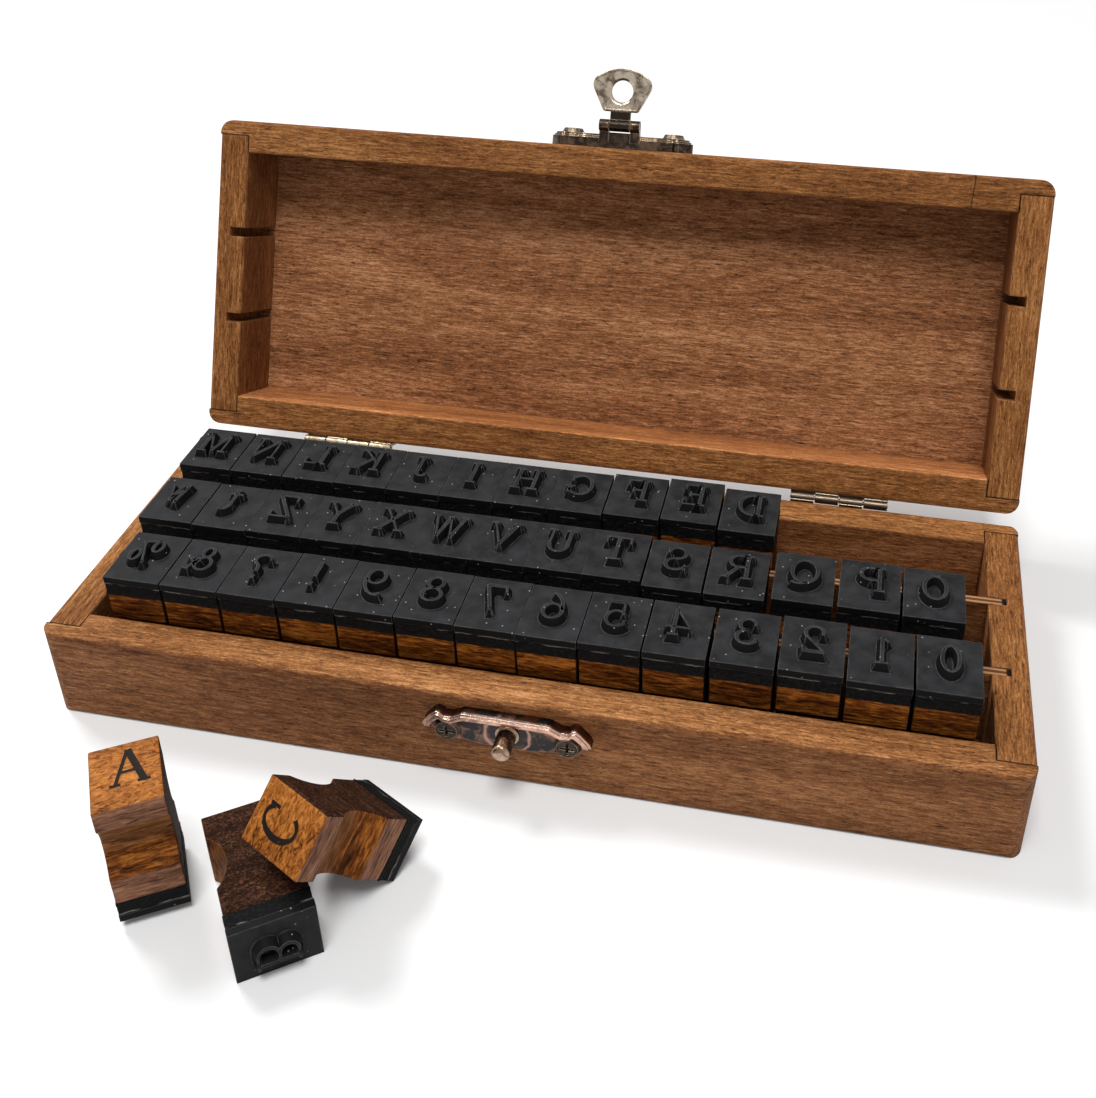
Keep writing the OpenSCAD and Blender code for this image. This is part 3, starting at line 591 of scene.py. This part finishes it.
GLYPHS = {
    "A": [("l", 0.5, 1, 0.14, 0, 0), ("l", 0.5, 1, 0.86, 0, 1), ("l", 0.27, 0.35, 0.73, 0.35, 0),
          ("s", 0.14, 0, 0.14), ("s", 0.86, 0, 0.16)],
    "B": stem(0.2) + [("l", 0.2, 1, 0.48, 1, 0), ("l", 0.2, 0.53, 0.5, 0.53, 0),
                      ("l", 0.2, 0, 0.5, 0, 0), ("a", 0.48, 0.765, 0.28, 0.235, -90, 90),
                      ("a", 0.5, 0.265, 0.33, 0.265, -90, 90)],
    "C": [("a", 0.52, 0.5, 0.4, 0.5, 42, 318)] + drops((0.84, 0.68, 0.3)),
    "D": stem(0.2) + [("l", 0.2, 0, 0.4, 0, 0), ("l", 0.2, 1, 0.4, 1, 0),
                      ("a", 0.4, 0.5, 0.44, 0.5, -90, 90)],
    "E": stem(0.22) + [("l", 0.22, 1, 0.78, 1, 0), ("l", 0.22, 0.52, 0.6, 0.52, 0),
                       ("l", 0.22, 0, 0.82, 0, 0)]
    + drops((0.78, 1, -0.22), (0.6, 0.4, 0.24), (0.82, 0, 0.24)),
    "F": stem(0.24) + [("l", 0.24, 1, 0.8, 1, 0), ("l", 0.24, 0.5, 0.6, 0.5, 0)]
    + drops((0.8, 1, -0.24), (0.6, 0.38, 0.24)),
    "G": [("a", 0.5, 0.5, 0.4, 0.5, 45, 335), ("l", 0.84, 0.1, 0.84, 0.42, 1),
          ("s", 0.82, 0.42, 0.15)] + drops((0.8, 0.7, 0.27)),
    "H": stem(0.2) + stem(0.8) + [("l", 0.2, 0.5, 0.8, 0.5, 0)],
    "I": stem(0.5),
    "J": [("l", 0.56, 1, 0.56, 0.14, 1), ("s", 0.56, 1, 0.18),
          ("a", 0.4, 0.14, 0.16, 0.14, 0, -150), ("d", 0.27, 0.1, 0.07)],
    "K": stem(0.2) + [("l", 0.22, 0.4, 0.78, 1, 0), ("l", 0.4, 0.58, 0.84, 0, 1),
                      ("s", 0.78, 1, 0.13), ("s", 0.86, 0, 0.15)],
    "L": stem(0.24) + [("l", 0.24, 0, 0.82, 0, 0)] + drops((0.82, 0, 0.28)),
    "M": [("l", 0.12, 0, 0.12, 1, 0), ("l", 0.12, 1, 0.5, 0.05, 1), ("l", 0.5, 0.05, 0.88, 1, 0),
          ("l", 0.88, 1, 0.88, 0, 1), ("s", 0.12, 0, 0.13), ("s", 0.88, 0, 0.15),
          ("s", 0.06, 1, 0.1), ("s", 0.94, 1, 0.1)],
    "N": [("l", 0.16, 0, 0.16, 1, 0), ("l", 0.16, 1, 0.84, 0, 1), ("l", 0.84, 0, 0.84, 1, 0),
          ("s", 0.16, 0, 0.14), ("s", 0.1, 1, 0.12), ("s", 0.84, 1, 0.14)],
    "O": [("a", 0.5, 0.5, 0.34, 0.5, 0, 360)],
    "P": stem(0.22) + [("l", 0.22, 1, 0.5, 1, 0), ("l", 0.22, 0.46, 0.5, 0.46, 0),
                       ("a", 0.5, 0.73, 0.3, 0.27, -90, 90)],
    "Q": [("a", 0.5, 0.5, 0.4, 0.5, 0, 360), ("a", 0.66, 0.1, 0.24, 0.16, 180, 330)],
    "R": stem(0.2) + [("l", 0.2, 1, 0.48, 1, 0), ("l", 0.2, 0.48, 0.48, 0.48, 0),
                      ("a", 0.48, 0.74, 0.28, 0.26, -90, 90), ("l", 0.48, 0.48, 0.82, 0, 1),
                      ("s", 0.86, 0, 0.12)],
    "S": [("a", 0.5, 0.755, 0.28, 0.245, 25, 270), ("a", 0.5, 0.255, 0.32, 0.255, 90, -155)]
    + drops((0.78, 0.76, 0.22), (0.2, 0.25, -0.24)),
    "T": [("l", 0.5, 0, 0.5, 1, 1), ("s", 0.5, 0, 0.2), ("l", 0.1, 1, 0.9, 1, 0)]
    + drops((0.1, 1, -0.24), (0.9, 1, -0.24)),
    "U": [("l", 0.2, 1, 0.2, 0.32, 1), ("a", 0.5, 0.32, 0.3, 0.32, 180, 360),
          ("l", 0.8, 0.32, 0.8, 1, 0), ("s", 0.2, 1, 0.16), ("s", 0.8, 1, 0.13)],
    "V": [("l", 0.12, 1, 0.5, 0, 1), ("l", 0.5, 0, 0.88, 1, 0), ("s", 0.12, 1, 0.15),
          ("s", 0.88, 1, 0.12)],
    "W": [("l", 0.02, 1, 0.27, 0, 1), ("l", 0.27, 0, 0.5, 0.95, 0), ("l", 0.5, 0.95, 0.74, 0, 1),
          ("l", 0.74, 0, 0.98, 1, 0), ("s", 0.02, 1, 0.12), ("s", 0.5, 0.97, 0.1),
          ("s", 0.98, 1, 0.1)],
    "X": [("l", 0.16, 1, 0.84, 0, 1), ("l", 0.82, 1, 0.18, 0, 0), ("s", 0.16, 1, 0.14),
          ("s", 0.82, 1, 0.12), ("s", 0.18, 0, 0.12), ("s", 0.84, 0, 0.14)],
    "Y": [("l", 0.14, 1, 0.5, 0.46, 1), ("l", 0.5, 0.46, 0.86, 1, 0), ("l", 0.5, 0.46, 0.5, 0, 1),
          ("s", 0.14, 1, 0.14), ("s", 0.86, 1, 0.12), ("s", 0.5, 0, 0.18)],
    "Z": [("l", 0.18, 1, 0.82, 1, 0), ("l", 0.82, 1, 0.16, 0, 1), ("l", 0.16, 0, 0.84, 0, 0)]
    + drops((0.18, 1, -0.22), (0.84, 0, 0.24)),
    "0": [("a", 0.5, 0.5, 0.25, 0.5, 0, 360)],
    "1": [("l", 0.5, 0, 0.5, 1, 1), ("l", 0.5, 1, 0.33, 0.84, 0), ("s", 0.5, 0, 0.18)],
    "2": [("a", 0.48, 0.74, 0.28, 0.26, 165, -35), ("l", 0.71, 0.59, 0.2, 0.03, 0),
          ("l", 0.18, 0, 0.8, 0, 1), ("l", 0.8, 0, 0.82, 0.18, 0), ("d", 0.24, 0.74, 0.075)],
    "3": [("a", 0.47, 0.77, 0.25, 0.23, 155, -90), ("a", 0.47, 0.27, 0.3, 0.27, 90, -155),
          ("d", 0.25, 0.82, 0.07), ("d", 0.21, 0.2, 0.07)],
    "4": [("l", 0.62, 1, 0.14, 0.3, 0), ("l", 0.14, 0.3, 0.88, 0.3, 0),
          ("l", 0.64, 1, 0.64, 0, 1), ("s", 0.64, 0, 0.16)],
    "5": [("l", 0.3, 1, 0.74, 1, 1), ("l", 0.3, 1, 0.27, 0.5, 0),
          ("a", 0.46, 0.32, 0.31, 0.32, 128, -150), ("d", 0.21, 0.22, 0.07)],
    "6": [("a", 0.5, 0.3, 0.29, 0.3, 0, 360), ("a", 0.75, 0.36, 0.54, 0.72, 108, 180)],
    "7": [("l", 0.2, 1, 0.8, 1, 1), ("l", 0.2, 1, 0.16, 0.78, 0), ("l", 0.8, 1, 0.48, 0, 1),
          ("d", 0.48, 0.02, 0.06)],
    "8": [("a", 0.5, 0.77, 0.24, 0.23, 0, 360), ("a", 0.5, 0.27, 0.3, 0.27, 0, 360)],
    "9": [("a", 0.5, 0.72, 0.28, 0.3, 0, 360), ("a", 0.3, 0.6, 0.49, 0.66, -105, 0),
          ("d", 0.2, -0.02, 0.06)],
    "!": [("l", 0.5, 1, 0.5, 0.36, 1), ("d", 0.5, 0.04, 0.1)],
    "?": [("a", 0.46, 0.78, 0.27, 0.22, 150, -40), ("a", 0.78, 0.36, 0.28, 0.3, 112, 195),
          ("d", 0.24, 0.84, 0.06), ("d", 0.5, 0.03, 0.1)],
    "&": [("a", 0.42, 0.79, 0.17, 0.21, 0, 360), ("a", 0.38, 0.28, 0.26, 0.28, 0, 360),
          ("l", 0.55, 0.42, 0.82, 0.04, 1), ("l", 0.6, 0.14, 0.84, 0.44, 0),
          ("s", 0.84, 0.46, 0.1), ("s", 0.86, 0, 0.09)],
    "%": [("a", 0.2, 0.74, 0.15, 0.24, 0, 360), ("a", 0.78, 0.3, 0.15, 0.24, 0, 360),
          ("l", 0.2, 0.98, 0.78, 0.9, 0), ("l", 0.74, 0.94, 0.38, 0, 0), ("d", 0.38, 0.02, 0.08)],
    "$": [("l", 0.3, 0.96, 0.44, 0.04, 1), ("l", 0.52, 0.86, 0.66, 0.1, 1),
          ("l", 0.3, 0.8, 0.66, 0.22, 0), ("l", 0.66, 0.3, 0.86, 0.86, 0),
          ("d", 0.42, 0.04, 0.08), ("d", 0.62, 0.12, 0.07)],
    "+": [("l", 0.46, 1, 0.46, 0.3, 1), ("l", 0.24, 0.82, 0.66, 0.82, 0),
          ("a", 0.68, 0.32, 0.22, 0.3, 180, 285), ("d", 0.74, 0.05, 0.07), ("s", 0.46, 1, 0.1)],
}

ROWS = {"front": "%&?!9876543210", "middle": "$+ZYXWVUTSRQPO", "rear": "MNLKJIHGFED"}
GLYPH_H, GLYPH_W = 5.3 * MM, 4.9 * MM
SHOULDER = 0.5 * MM


def ridge(bm, points, widths, low, high, spread, closed=False):
    """Raised stroke along points, with a crest as wide as widths and a foot wider by spread."""
    count = len(points)
    rings = []
    for i, point in enumerate(points):
        before = points[i - 1] if i or closed else points[i]
        after = points[(i + 1) % count] if i + 1 < count or closed else points[i]
        along = (after - before).normalized()
        side = Vector((-along.y, along.x))
        end = 0 if closed else (i == count - 1) - (i == 0)
        half = widths[i] / 2
        foot = [point + side * s * (half + spread) + along * end * spread for s in (1, -1)]
        crest = [point + side * s * half for s in (1, -1)]
        rings.append([bm.verts.new((p.x, p.y, z)) for p, z in
                      ((foot[0], low), (crest[0], high), (crest[1], high), (foot[1], low))])
    pairs = zip(rings, rings[1:] + rings[:1] if closed else rings[1:])
    for a, b in pairs:
        for k in range(3):
            bm.faces.new((a[k], b[k], b[k + 1], a[k + 1]))
        if low != high:
            bm.faces.new((a[3], b[3], b[0], a[0]))
    if not closed and low != high:
        bm.faces.new(rings[0])
        bm.faces.new(rings[-1][::-1])


def stroke_points(kind, v, spot):
    """Points along one stroke, the width at each as a share of the height, and if it is closed."""
    if kind == "l":
        x0, y0, x1, y1, heavy = v
        points = [spot(x0, y0).lerp(spot(x1, y1), t / 4) for t in range(5)]
        return points, [THICK if heavy else THIN] * 5, False
    if kind == "s":
        x, y, half = v
        return [spot(x + t * half, y) for t in (-1, 0, 1)], [THIN] * 3, False
    if kind == "d":
        x, y, radius = v
        return [spot(x + t * radius, y) for t in (-0.5, 0, 0.5)], [1.4 * radius] * 3, False
    cx, cy, rx, ry, start, end = v
    closed = abs(end - start) == 360
    steps = max(6, int(abs(end - start) / 12))
    count = steps if closed else steps + 1
    turns = [math.radians(start + (end - start) * t / steps) for t in range(count)]
    points = [spot(cx + rx * math.cos(t), cy + ry * math.sin(t)) for t in turns]
    widths = [THIN + (THICK - THIN) * abs(math.cos(t)) ** 1.5 for t in turns]
    return points, widths, closed


def draw_glyph(bm, name, low, high, spread, height, width, mirror, crest=1.0):
    """Draws a character round the origin of the XY plane."""

    def spot(x, y):
        return Vector(((-1 if mirror else 1) * (x - 0.5) * width, (y - 0.5) * height))

    for kind, *v in GLYPHS[name]:
        points, widths, closed = stroke_points(kind, v, spot)
        widths = [w * height * crest for w in widths]
        if points[0].x > points[-1].x:
            points, widths = points[::-1], widths[::-1]
        ridge(bm, points, widths, low, high, spread, closed)


# Shapes of a stamp, standing on its printed end

BLOCK_BEVEL, FOOT_LIFT = 0.22 * MM, 0.02 * MM
FOAM_OVER, FOAM_WAIST, FOAM_IN, FOAM_OUT = 0.08 * MM, 0.05 * MM, -0.05, 0.045
FOAM_ROWS, FOAM_STEPS = 4, 14
DIE_SIDE, DIE_BEVEL = 0.1 * MM, 0.1 * MM
PRINT_H, PRINT_W, PRINT_CREST = 6.0 * MM, 5.1 * MM, 1.5
# The printed strokes lie at slightly different heights, so that no two share a plane
PRINT_LIFT, PRINT_STEP, PRINT_LEVELS = 0.002, 0.0007, 18


def box(bm, low, high, bevel):
    """Box with eased edges."""
    verts = bmesh.ops.create_cube(bm, size=1)["verts"]
    for v in verts:
        v.co = Vector([low[i] + (v.co[i] + 0.5) * (high[i] - low[i]) for i in range(3)])
    edges = list({e for v in verts for e in v.link_edges})
    bmesh.ops.bevel(bm, geom=edges, offset=bevel, segments=2, profile=0.7, affect="EDGES")


def block_shape(bm):
    """Wooden block with a round grip on its front and its rear."""
    grip_r = (GRIP_L ** 2 / 4 + GRIP_D ** 2) / (2 * GRIP_D)
    middle = GRIP_START + GRIP_L / 2
    swing = math.asin(GRIP_L / 2 / grip_r)
    turns = [swing * (k / 8 - 1) for k in range(17)]
    arc = [(BLOCK_D / 2 + grip_r - GRIP_D - grip_r * math.cos(t), middle + grip_r * math.sin(t))
           for t in turns]
    side = [(BLOCK_D / 2, 0)] + arc + [(BLOCK_D / 2, BLOCK_L)]
    outline = side + [(-y, z) for y, z in reversed(side)]
    verts = [bm.verts.new((-BLOCK_W / 2, y, max(z, FOOT_LIFT))) for y, z in outline]
    out = bmesh.ops.extrude_face_region(bm, geom=[bm.faces.new(verts)])
    for v in out["geom"]:
        if isinstance(v, bmesh.types.BMVert):
            v.co.x += BLOCK_W
    bmesh.ops.recalc_face_normals(bm, faces=bm.faces)
    sharp = [e for e in bm.edges if len(e.link_faces) == 2 and e.calc_face_angle() > 0.5]
    bmesh.ops.bevel(bm, geom=sharp, offset=BLOCK_BEVEL, segments=2, profile=0.6, affect="EDGES")


def cushion_shape(bm):
    """Foam slab with rough, uneven sides."""
    half_w, half_d = BLOCK_W / 2 + FOAM_OVER, BLOCK_D / 2 + FOAM_OVER
    loops = []
    for j in range(FOAM_ROWS + 1):
        z = BLOCK_L + CUSHION_T * j / FOAM_ROWS
        waist = 0.0 if j in (0, FOAM_ROWS) else FOAM_WAIST
        ring = []
        for k in range(4 * FOAM_STEPS):
            side, t = divmod(k, FOAM_STEPS)
            t = t / FOAM_STEPS * 2 - 1
            x, y = ((t, -1), (1, t), (-t, 1), (-1, -t))[side]
            rough = rng.uniform(FOAM_IN, FOAM_OUT) * MM - waist
            ring.append(bm.verts.new((x * (half_w + rough), y * (half_d + rough), z)))
        loops.append(ring)
    for a, b in zip(loops, loops[1:]):
        for k in range(4 * FOAM_STEPS):
            m = (k + 1) % (4 * FOAM_STEPS)
            bm.faces.new((a[k], a[m], b[m], b[k]))
    bm.faces.new(loops[0][::-1])
    bm.faces.new(loops[-1])


def print_shape(bm, name, along_x, along_y, x, y):
    """Character printed on the wooden end of a stamp."""
    draw_glyph(bm, name, 0, 0, 0, PRINT_H, PRINT_W, False, PRINT_CREST)
    for i, v in enumerate(bm.verts):
        level = (PRINT_LIFT + PRINT_STEP * (i // 4 % PRINT_LEVELS)) * MM
        v.co = Vector((v.co.x * along_x + x * MM, v.co.y * along_y + y * MM, level))


def die_shape(bm, name):
    """Rubber die with its mirrored character in relief."""
    low = BLOCK_L + CUSHION_T
    half_w, half_d = BLOCK_W / 2 + DIE_SIDE, BLOCK_D / 2 + DIE_OVER
    box(bm, (-half_w, -half_d, low), (half_w, half_d, low + DIE_T), DIE_BEVEL)
    draw_glyph(bm, name, STAMP_L - 0.05 * MM, STAMP_L + RELIEF_H, SHOULDER, GLYPH_H, GLYPH_W,
               True)


def make_object(name, parts, material, picks):
    """Joins shapes, each with its own matrix, to one piece.

    Each shape keeps its own coordinates, normals and random pick as attributes.
    """
    whole = bmesh.new()
    whole.verts.layers.float.new("pick")
    whole.verts.layers.float_vector.new("own")
    whole.faces.layers.float_vector.new("own_normal")
    for (fill, matrix), pick in zip(parts, picks):
        first_vert, first_face = len(whole.verts), len(whole.faces)
        part = bmesh.new()
        fill(part)
        bmesh.ops.dissolve_degenerate(part, dist=1e-7, edges=part.edges)
        bmesh.ops.recalc_face_normals(part, faces=part.faces)
        part.normal_update()
        spots = [v.co.copy() for v in part.verts]
        normals = [f.normal.copy() for f in part.faces]
        part.transform(matrix)
        mesh = bpy.data.meshes.new("part")
        part.to_mesh(mesh)
        part.free()
        whole.from_mesh(mesh)
        bpy.data.meshes.remove(mesh)
        pick_layer = whole.verts.layers.float["pick"]
        own = whole.verts.layers.float_vector["own"]
        own_normal = whole.faces.layers.float_vector["own_normal"]
        for v, spot in zip(list(whole.verts)[first_vert:], spots):
            v[pick_layer], v[own] = pick, spot
        for f, normal in zip(list(whole.faces)[first_face:], normals):
            f[own_normal] = normal
    mesh = bpy.data.meshes.new(name)
    whole.to_mesh(mesh)
    whole.free()
    mesh.materials.append(material)
    piece = bpy.data.objects.new(name, mesh)
    bpy.context.scene.collection.objects.link(piece)
    return piece


# Materials of a stamp

def rubber():
    """Matt black rubber with dust, with painted shade on its sides and in its corners and a
    painted highlight on its crests.
    """
    n = Nodes("die_rubber")
    grain = n.noise(n.own(), 2600, 3)
    patch = n.noise(n.own(), 330, 4, 0.6)
    colour = n.mix(n.span(patch, 0.35, 0.7), (0.0105, 0.0108, 0.0115), (0.026, 0.0265, 0.028))
    # Painted shade: the sides, which do not face up, are darker than the top.
    colour = n.mix(n.span(n.own_facing(UP), 0.3, 0.85), (0.0045, 0.0045, 0.0047), colour)
    # Painted highlight: the light colour along the edges and crests, patchy by noise.
    edge, rounded = n.edges(0.25 * MM, 0.82, 0.985)
    worn = n.span(n.noise(n.own(), 650, 3, 0.6), 0.35, 0.6, 0.35, 1.0)
    colour = n.mix(n.times(n.times(edge, worn), 0.75), colour, (0.16, 0.16, 0.165))
    # Painted shade: darker in corners and creases, where the ambient occlusion is low.
    near = n.add("ShaderNodeAmbientOcclusion", samples=4)
    near.inputs["Distance"].default_value = 0.7 * MM
    colour = n.mix(n.span(near.outputs["AO"], 0.5, 0.85), (0.0015, 0.0015, 0.0015), colour)
    spots = n.add("ShaderNodeTexVoronoi", feature="F1")
    n.link(n.own(), spots.inputs["Vector"])
    spots.inputs["Scale"].default_value = 760
    speck = n.span(spots.outputs["Distance"], 0.11, 0.06)
    some = n.span(n.math("FRACT", n.times(spots.outputs["Color"], 7.3)), 0.4, 0.44)
    colour = n.mix(n.times(n.times(speck, some), 0.5), colour, (0.5, 0.49, 0.46))
    rough = n.span(patch, 0.3, 0.7, 0.55, 0.72)
    return n.finish(colour, rough, n.bump(grain, 0.15, 0.05 * MM, rounded), spec=0.08)


def foam():
    """Black foam with torn cells and a ragged, paler glue line under the die."""
    n = Nodes("cushion_foam")
    cells = n.noise(n.own(), 2200, 4, 0.7)
    colour = n.mix(n.span(cells, 0.45, 0.8), (0.003, 0.003, 0.0032), (0.018, 0.0175, 0.017))
    level = n.math("ADD", n.own_z(), n.wave(n.own(), 420, 0.6 * MM, 3, 0.6))
    off = n.away(level, BLOCK_L + CUSHION_T - 0.2 * MM)
    broken = n.span(n.noise(n.own(), 260, 2, 0.5), 0.5, 0.62)
    line = n.times(n.span(off, 0.14 * MM, 0.04 * MM), broken)
    colour = n.mix(n.times(line, 0.6), colour, (0.25, 0.24, 0.22))
    rough = n.span(cells, 0.3, 0.7, 0.6, 0.85)
    return n.finish(colour, rough, n.bump(cells, 0.8, 0.25 * MM), spec=0.07)


# Dark, middle and light tones of the stamps' wood
LACQUER = ((0.022, 0.005, 0.001), (0.125, 0.035, 0.005), (0.38, 0.13, 0.02))
SIDE_WOOD = ((0.008, 0.003, 0.001), (0.028, 0.01, 0.005), (0.105, 0.045, 0.023))
PALE_WOOD = ((0.05, 0.018, 0.009), (0.19, 0.083, 0.045), (0.36, 0.18, 0.105))
BROWN_WOOD = ((0.03, 0.009, 0.002), (0.145, 0.052, 0.014), (0.3, 0.125, 0.04))
END_WOOD = ((0.045, 0.012, 0.002), (0.19, 0.058, 0.009), (0.46, 0.17, 0.035))


def stamp_wood(loose):
    """Lacquered wood in layers across the length of a stamp, dark on the sides without grips. The
    grips of a loose stamp carry bands of painted light and shade, and the edges are dark in places
    and light in places with a painted highlight.
    """
    n = Nodes("stamp_wood_loose" if loose else "stamp_wood_rows")
    place = n.own()

    def stretched(*scale):
        return n.vector("MULTIPLY", place, scale)

    band = n.noise(stretched(60, 60, 420), 1.0, 2, 0.5, 0.5)
    fibre = n.noise(stretched(380, 380, 2600), 1.0, 5, 0.72, 0.5)
    scratch = n.noise(stretched(700, 1500, 2600), 1.0, 3, 0.65, 1.5)
    tone = n.blend((band, 0.3), (fibre, 0.7))
    end_tone = n.blend((scratch, 0.75), (band, 0.25))
    lacquer = n.ramp(tone, (0.4, 0.5, 0.62), LACQUER)
    dark = n.ramp(end_tone, (0.4, 0.52, 0.64), SIDE_WOOD)
    if loose:
        # Painted light and shade across the grips: brown under the grip's upper step, lacquer
        # where the hollow turns up towards the light, pale on the flat parts beside it.
        z = n.math("ADD", n.own_z(), n.wave(stretched(150, 150, 300), 1.0, 1.5 * MM, 2))
        pale = n.ramp(tone, (0.38, 0.5, 0.64), PALE_WOOD)
        brown = n.ramp(tone, (0.38, 0.5, 0.64), BROWN_WOOD)
        grip = n.mix(n.span(z, 3.7 * MM, 4.0 * MM), pale, brown)
        grip = n.mix(n.span(z, 8.6 * MM, 9.4 * MM), grip, lacquer)
        grip = n.mix(n.span(z, 12.9 * MM, 13.2 * MM), grip, pale)
        end = n.ramp(end_tone, (0.36, 0.46, 0.66), END_WOOD)
        lacquer = n.mix(n.span(n.away(n.own_facing(UP)), 0.75, 0.95), grip, end)
    side = n.span(n.away(n.own_facing((1, 0, 0))), 0.6, 0.9)
    colour = n.mix(side, lacquer, dark)
    edge, rounded = n.edges(0.35 * MM, 0.7, 0.985)
    # The edges are dark in places and light in places; the light is a painted highlight.
    rub = n.span(n.noise(n.own(), 800, 3, 0.6), 0.55, 0.64)
    edge_lines_and_highlight = n.mix(rub, (0.016, 0.006, 0.003), (0.4, 0.24, 0.17))
    colour = n.mix(n.times(edge, 0.85), colour, edge_lines_and_highlight)
    height = n.blend((fibre, 0.6), (scratch, 0.8))
    gloss = n.math("ADD", n.span(scratch, 0.3, 0.7, 0.55, 0.4), n.times(side, 0.25))
    return n.finish(colour, gloss, n.bump(height, 0.6, 0.25 * MM, rounded), spec=0.06)


def ink():
    """Black print, worn through to the wood in spots."""
    n = Nodes("ink")
    worn = n.noise(n.own(), 1500, 4, 0.7)
    colour = n.mix(n.span(worn, 0.6, 0.7), (0.008, 0.006, 0.005), (0.11, 0.05, 0.02))
    return n.finish(colour, 0.6, spec=0.08)


RUBBER, FOAM, INK = rubber(), foam(), ink()
ROW_WOOD, LOOSE_WOOD = stamp_wood(False), stamp_wood(True)


def place_stamps(names, letters, matrices, body, picks, block_wood):
    """Makes the blocks, cushions and dies of a row or of one loose stamp."""
    prefix, block, cushion, die = names
    dies = [((lambda bm, c=c: die_shape(bm, c)), m) for c, m in zip(letters, matrices)]
    pieces = [
        make_object(prefix + "_wood", [(block_shape, m) for m in matrices], block_wood, picks),
        make_object(prefix + "_foam", [(cushion_shape, m) for m in matrices], FOAM, picks),
        make_object(prefix + "_rubber", dies, RUBBER, picks)]
    slots = ("stamp_wood", "cushion_foam", "die_rubber")
    for piece, node, slot in zip(pieces, (block, cushion, die), slots):
        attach(piece, body)
        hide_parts(node)


# Stamps in the rows. SHIFTS says how far each one stands to the right of an even row, and how
# far back, in tenths of a millimetre.

SHIFTS = {
    "front": ((0, 0), (0, 0), (-1, 0), (-2, 1), (-3, 0), (-4, 1), (-5, 0), (-7, -1), (-8, 0),
              (-8, 0), (-5, 0), (-3, 3), (-1, -1), (0, 0)),
    "middle": ((0, 0), (0, -2), (-2, 0), (-4, 0), (-6, 1), (-8.3, 0), (-10.6, 0), (-12.9, 0),
               (-15.2, 0), (-14.5, -8), (-13.5, -8), (-6, 0), (-1.5, 2), (0, 0)),
    "rear": ((0, 0), (0, 0), (-0.5, 0), (-2, 1), (-3.5, 0), (-5, 0), (-7, 0), (-9.2, 0),
             (-9.2, 5), (-9.2, 10), (-8, 0)),
}
SHIFT_UNIT, TWIST, MOST_PICK = 0.1 * MM, 0.1, 9

for row, letters in ROWS.items():
    low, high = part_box(row + "_row_dies")
    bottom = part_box(row + "_row_blocks")[0].z
    count = round((high.x - low.x - BLOCK_W - 2 * DIE_OVER) / PITCH) + 1
    matrices = []
    for i in range(count):
        right, back = SHIFTS[row][i]
        at = Vector((low.x + BLOCK_W / 2 + DIE_OVER + i * PITCH + right * SHIFT_UNIT,
                     (low.y + high.y) / 2 + back * SHIFT_UNIT, bottom))
        matrices.append(Matrix.Translation(at) @ turned(("Z", rng.uniform(-TWIST, TWIST))))
    nodes = tuple("%s_row_%s" % (row, part) for part in ("blocks", "cushions", "dies"))
    picks = [rng.random() * MOST_PICK for _ in matrices]
    place_stamps((row + "_stamps", *nodes), letters[:count], matrices, row + "_row", picks,
                 ROW_WOOD)

# Loose stamps: A stands on its die, B lies on its side and C leans on B

A_AT = Vector((-43.7 * MM, -56.5 * MM, STAMP_L + RELIEF_H))
B_AT = Vector((-33.2, -48.2, 4.55)) * MM
C_AT = Vector((B_AT.x + 11.27 * MM, B_AT.y - 8.97 * MM, 17.67 * MM))
B_TIP = math.degrees(math.asin(DIE_OVER / BLOCK_L))
LOOSE = {
    "a": Matrix.Translation(A_AT) @ turned(("Z", 31.7), ("X", 180)),
    "b": Matrix.Translation(B_AT) @ turned(("Z", -54.6), ("Y", 90 - B_TIP)),
    "c": Matrix.Translation(C_AT) @ turned(("Z", 61.8), ("Y", 133.4), ("Z", -0.2)),
}
# Printed character on the wooden end: the direction of its X and Y, and its middle in mm
PRINTS = {"a": (1, -1, 0.45, -1.3), "b": (1, -1, 0, -0.9), "c": (-1, 1, 0, 0.73)}

for key, place in LOOSE.items():
    body = "stamp_" + key
    nodes = tuple("%s_%s" % (body, part) for part in ("block", "cushion", "die"))
    picks = [rng.random() * MOST_PICK]
    place_stamps(("loose_" + key, *nodes), key.upper(), [place], body, picks, LOOSE_WOOD)
    fill = (lambda bm, k=key: print_shape(bm, k.upper(), *PRINTS[k]))
    mark = make_object("loose_" + key + "_print", [(fill, place)], INK, [0])
    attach(mark, body)
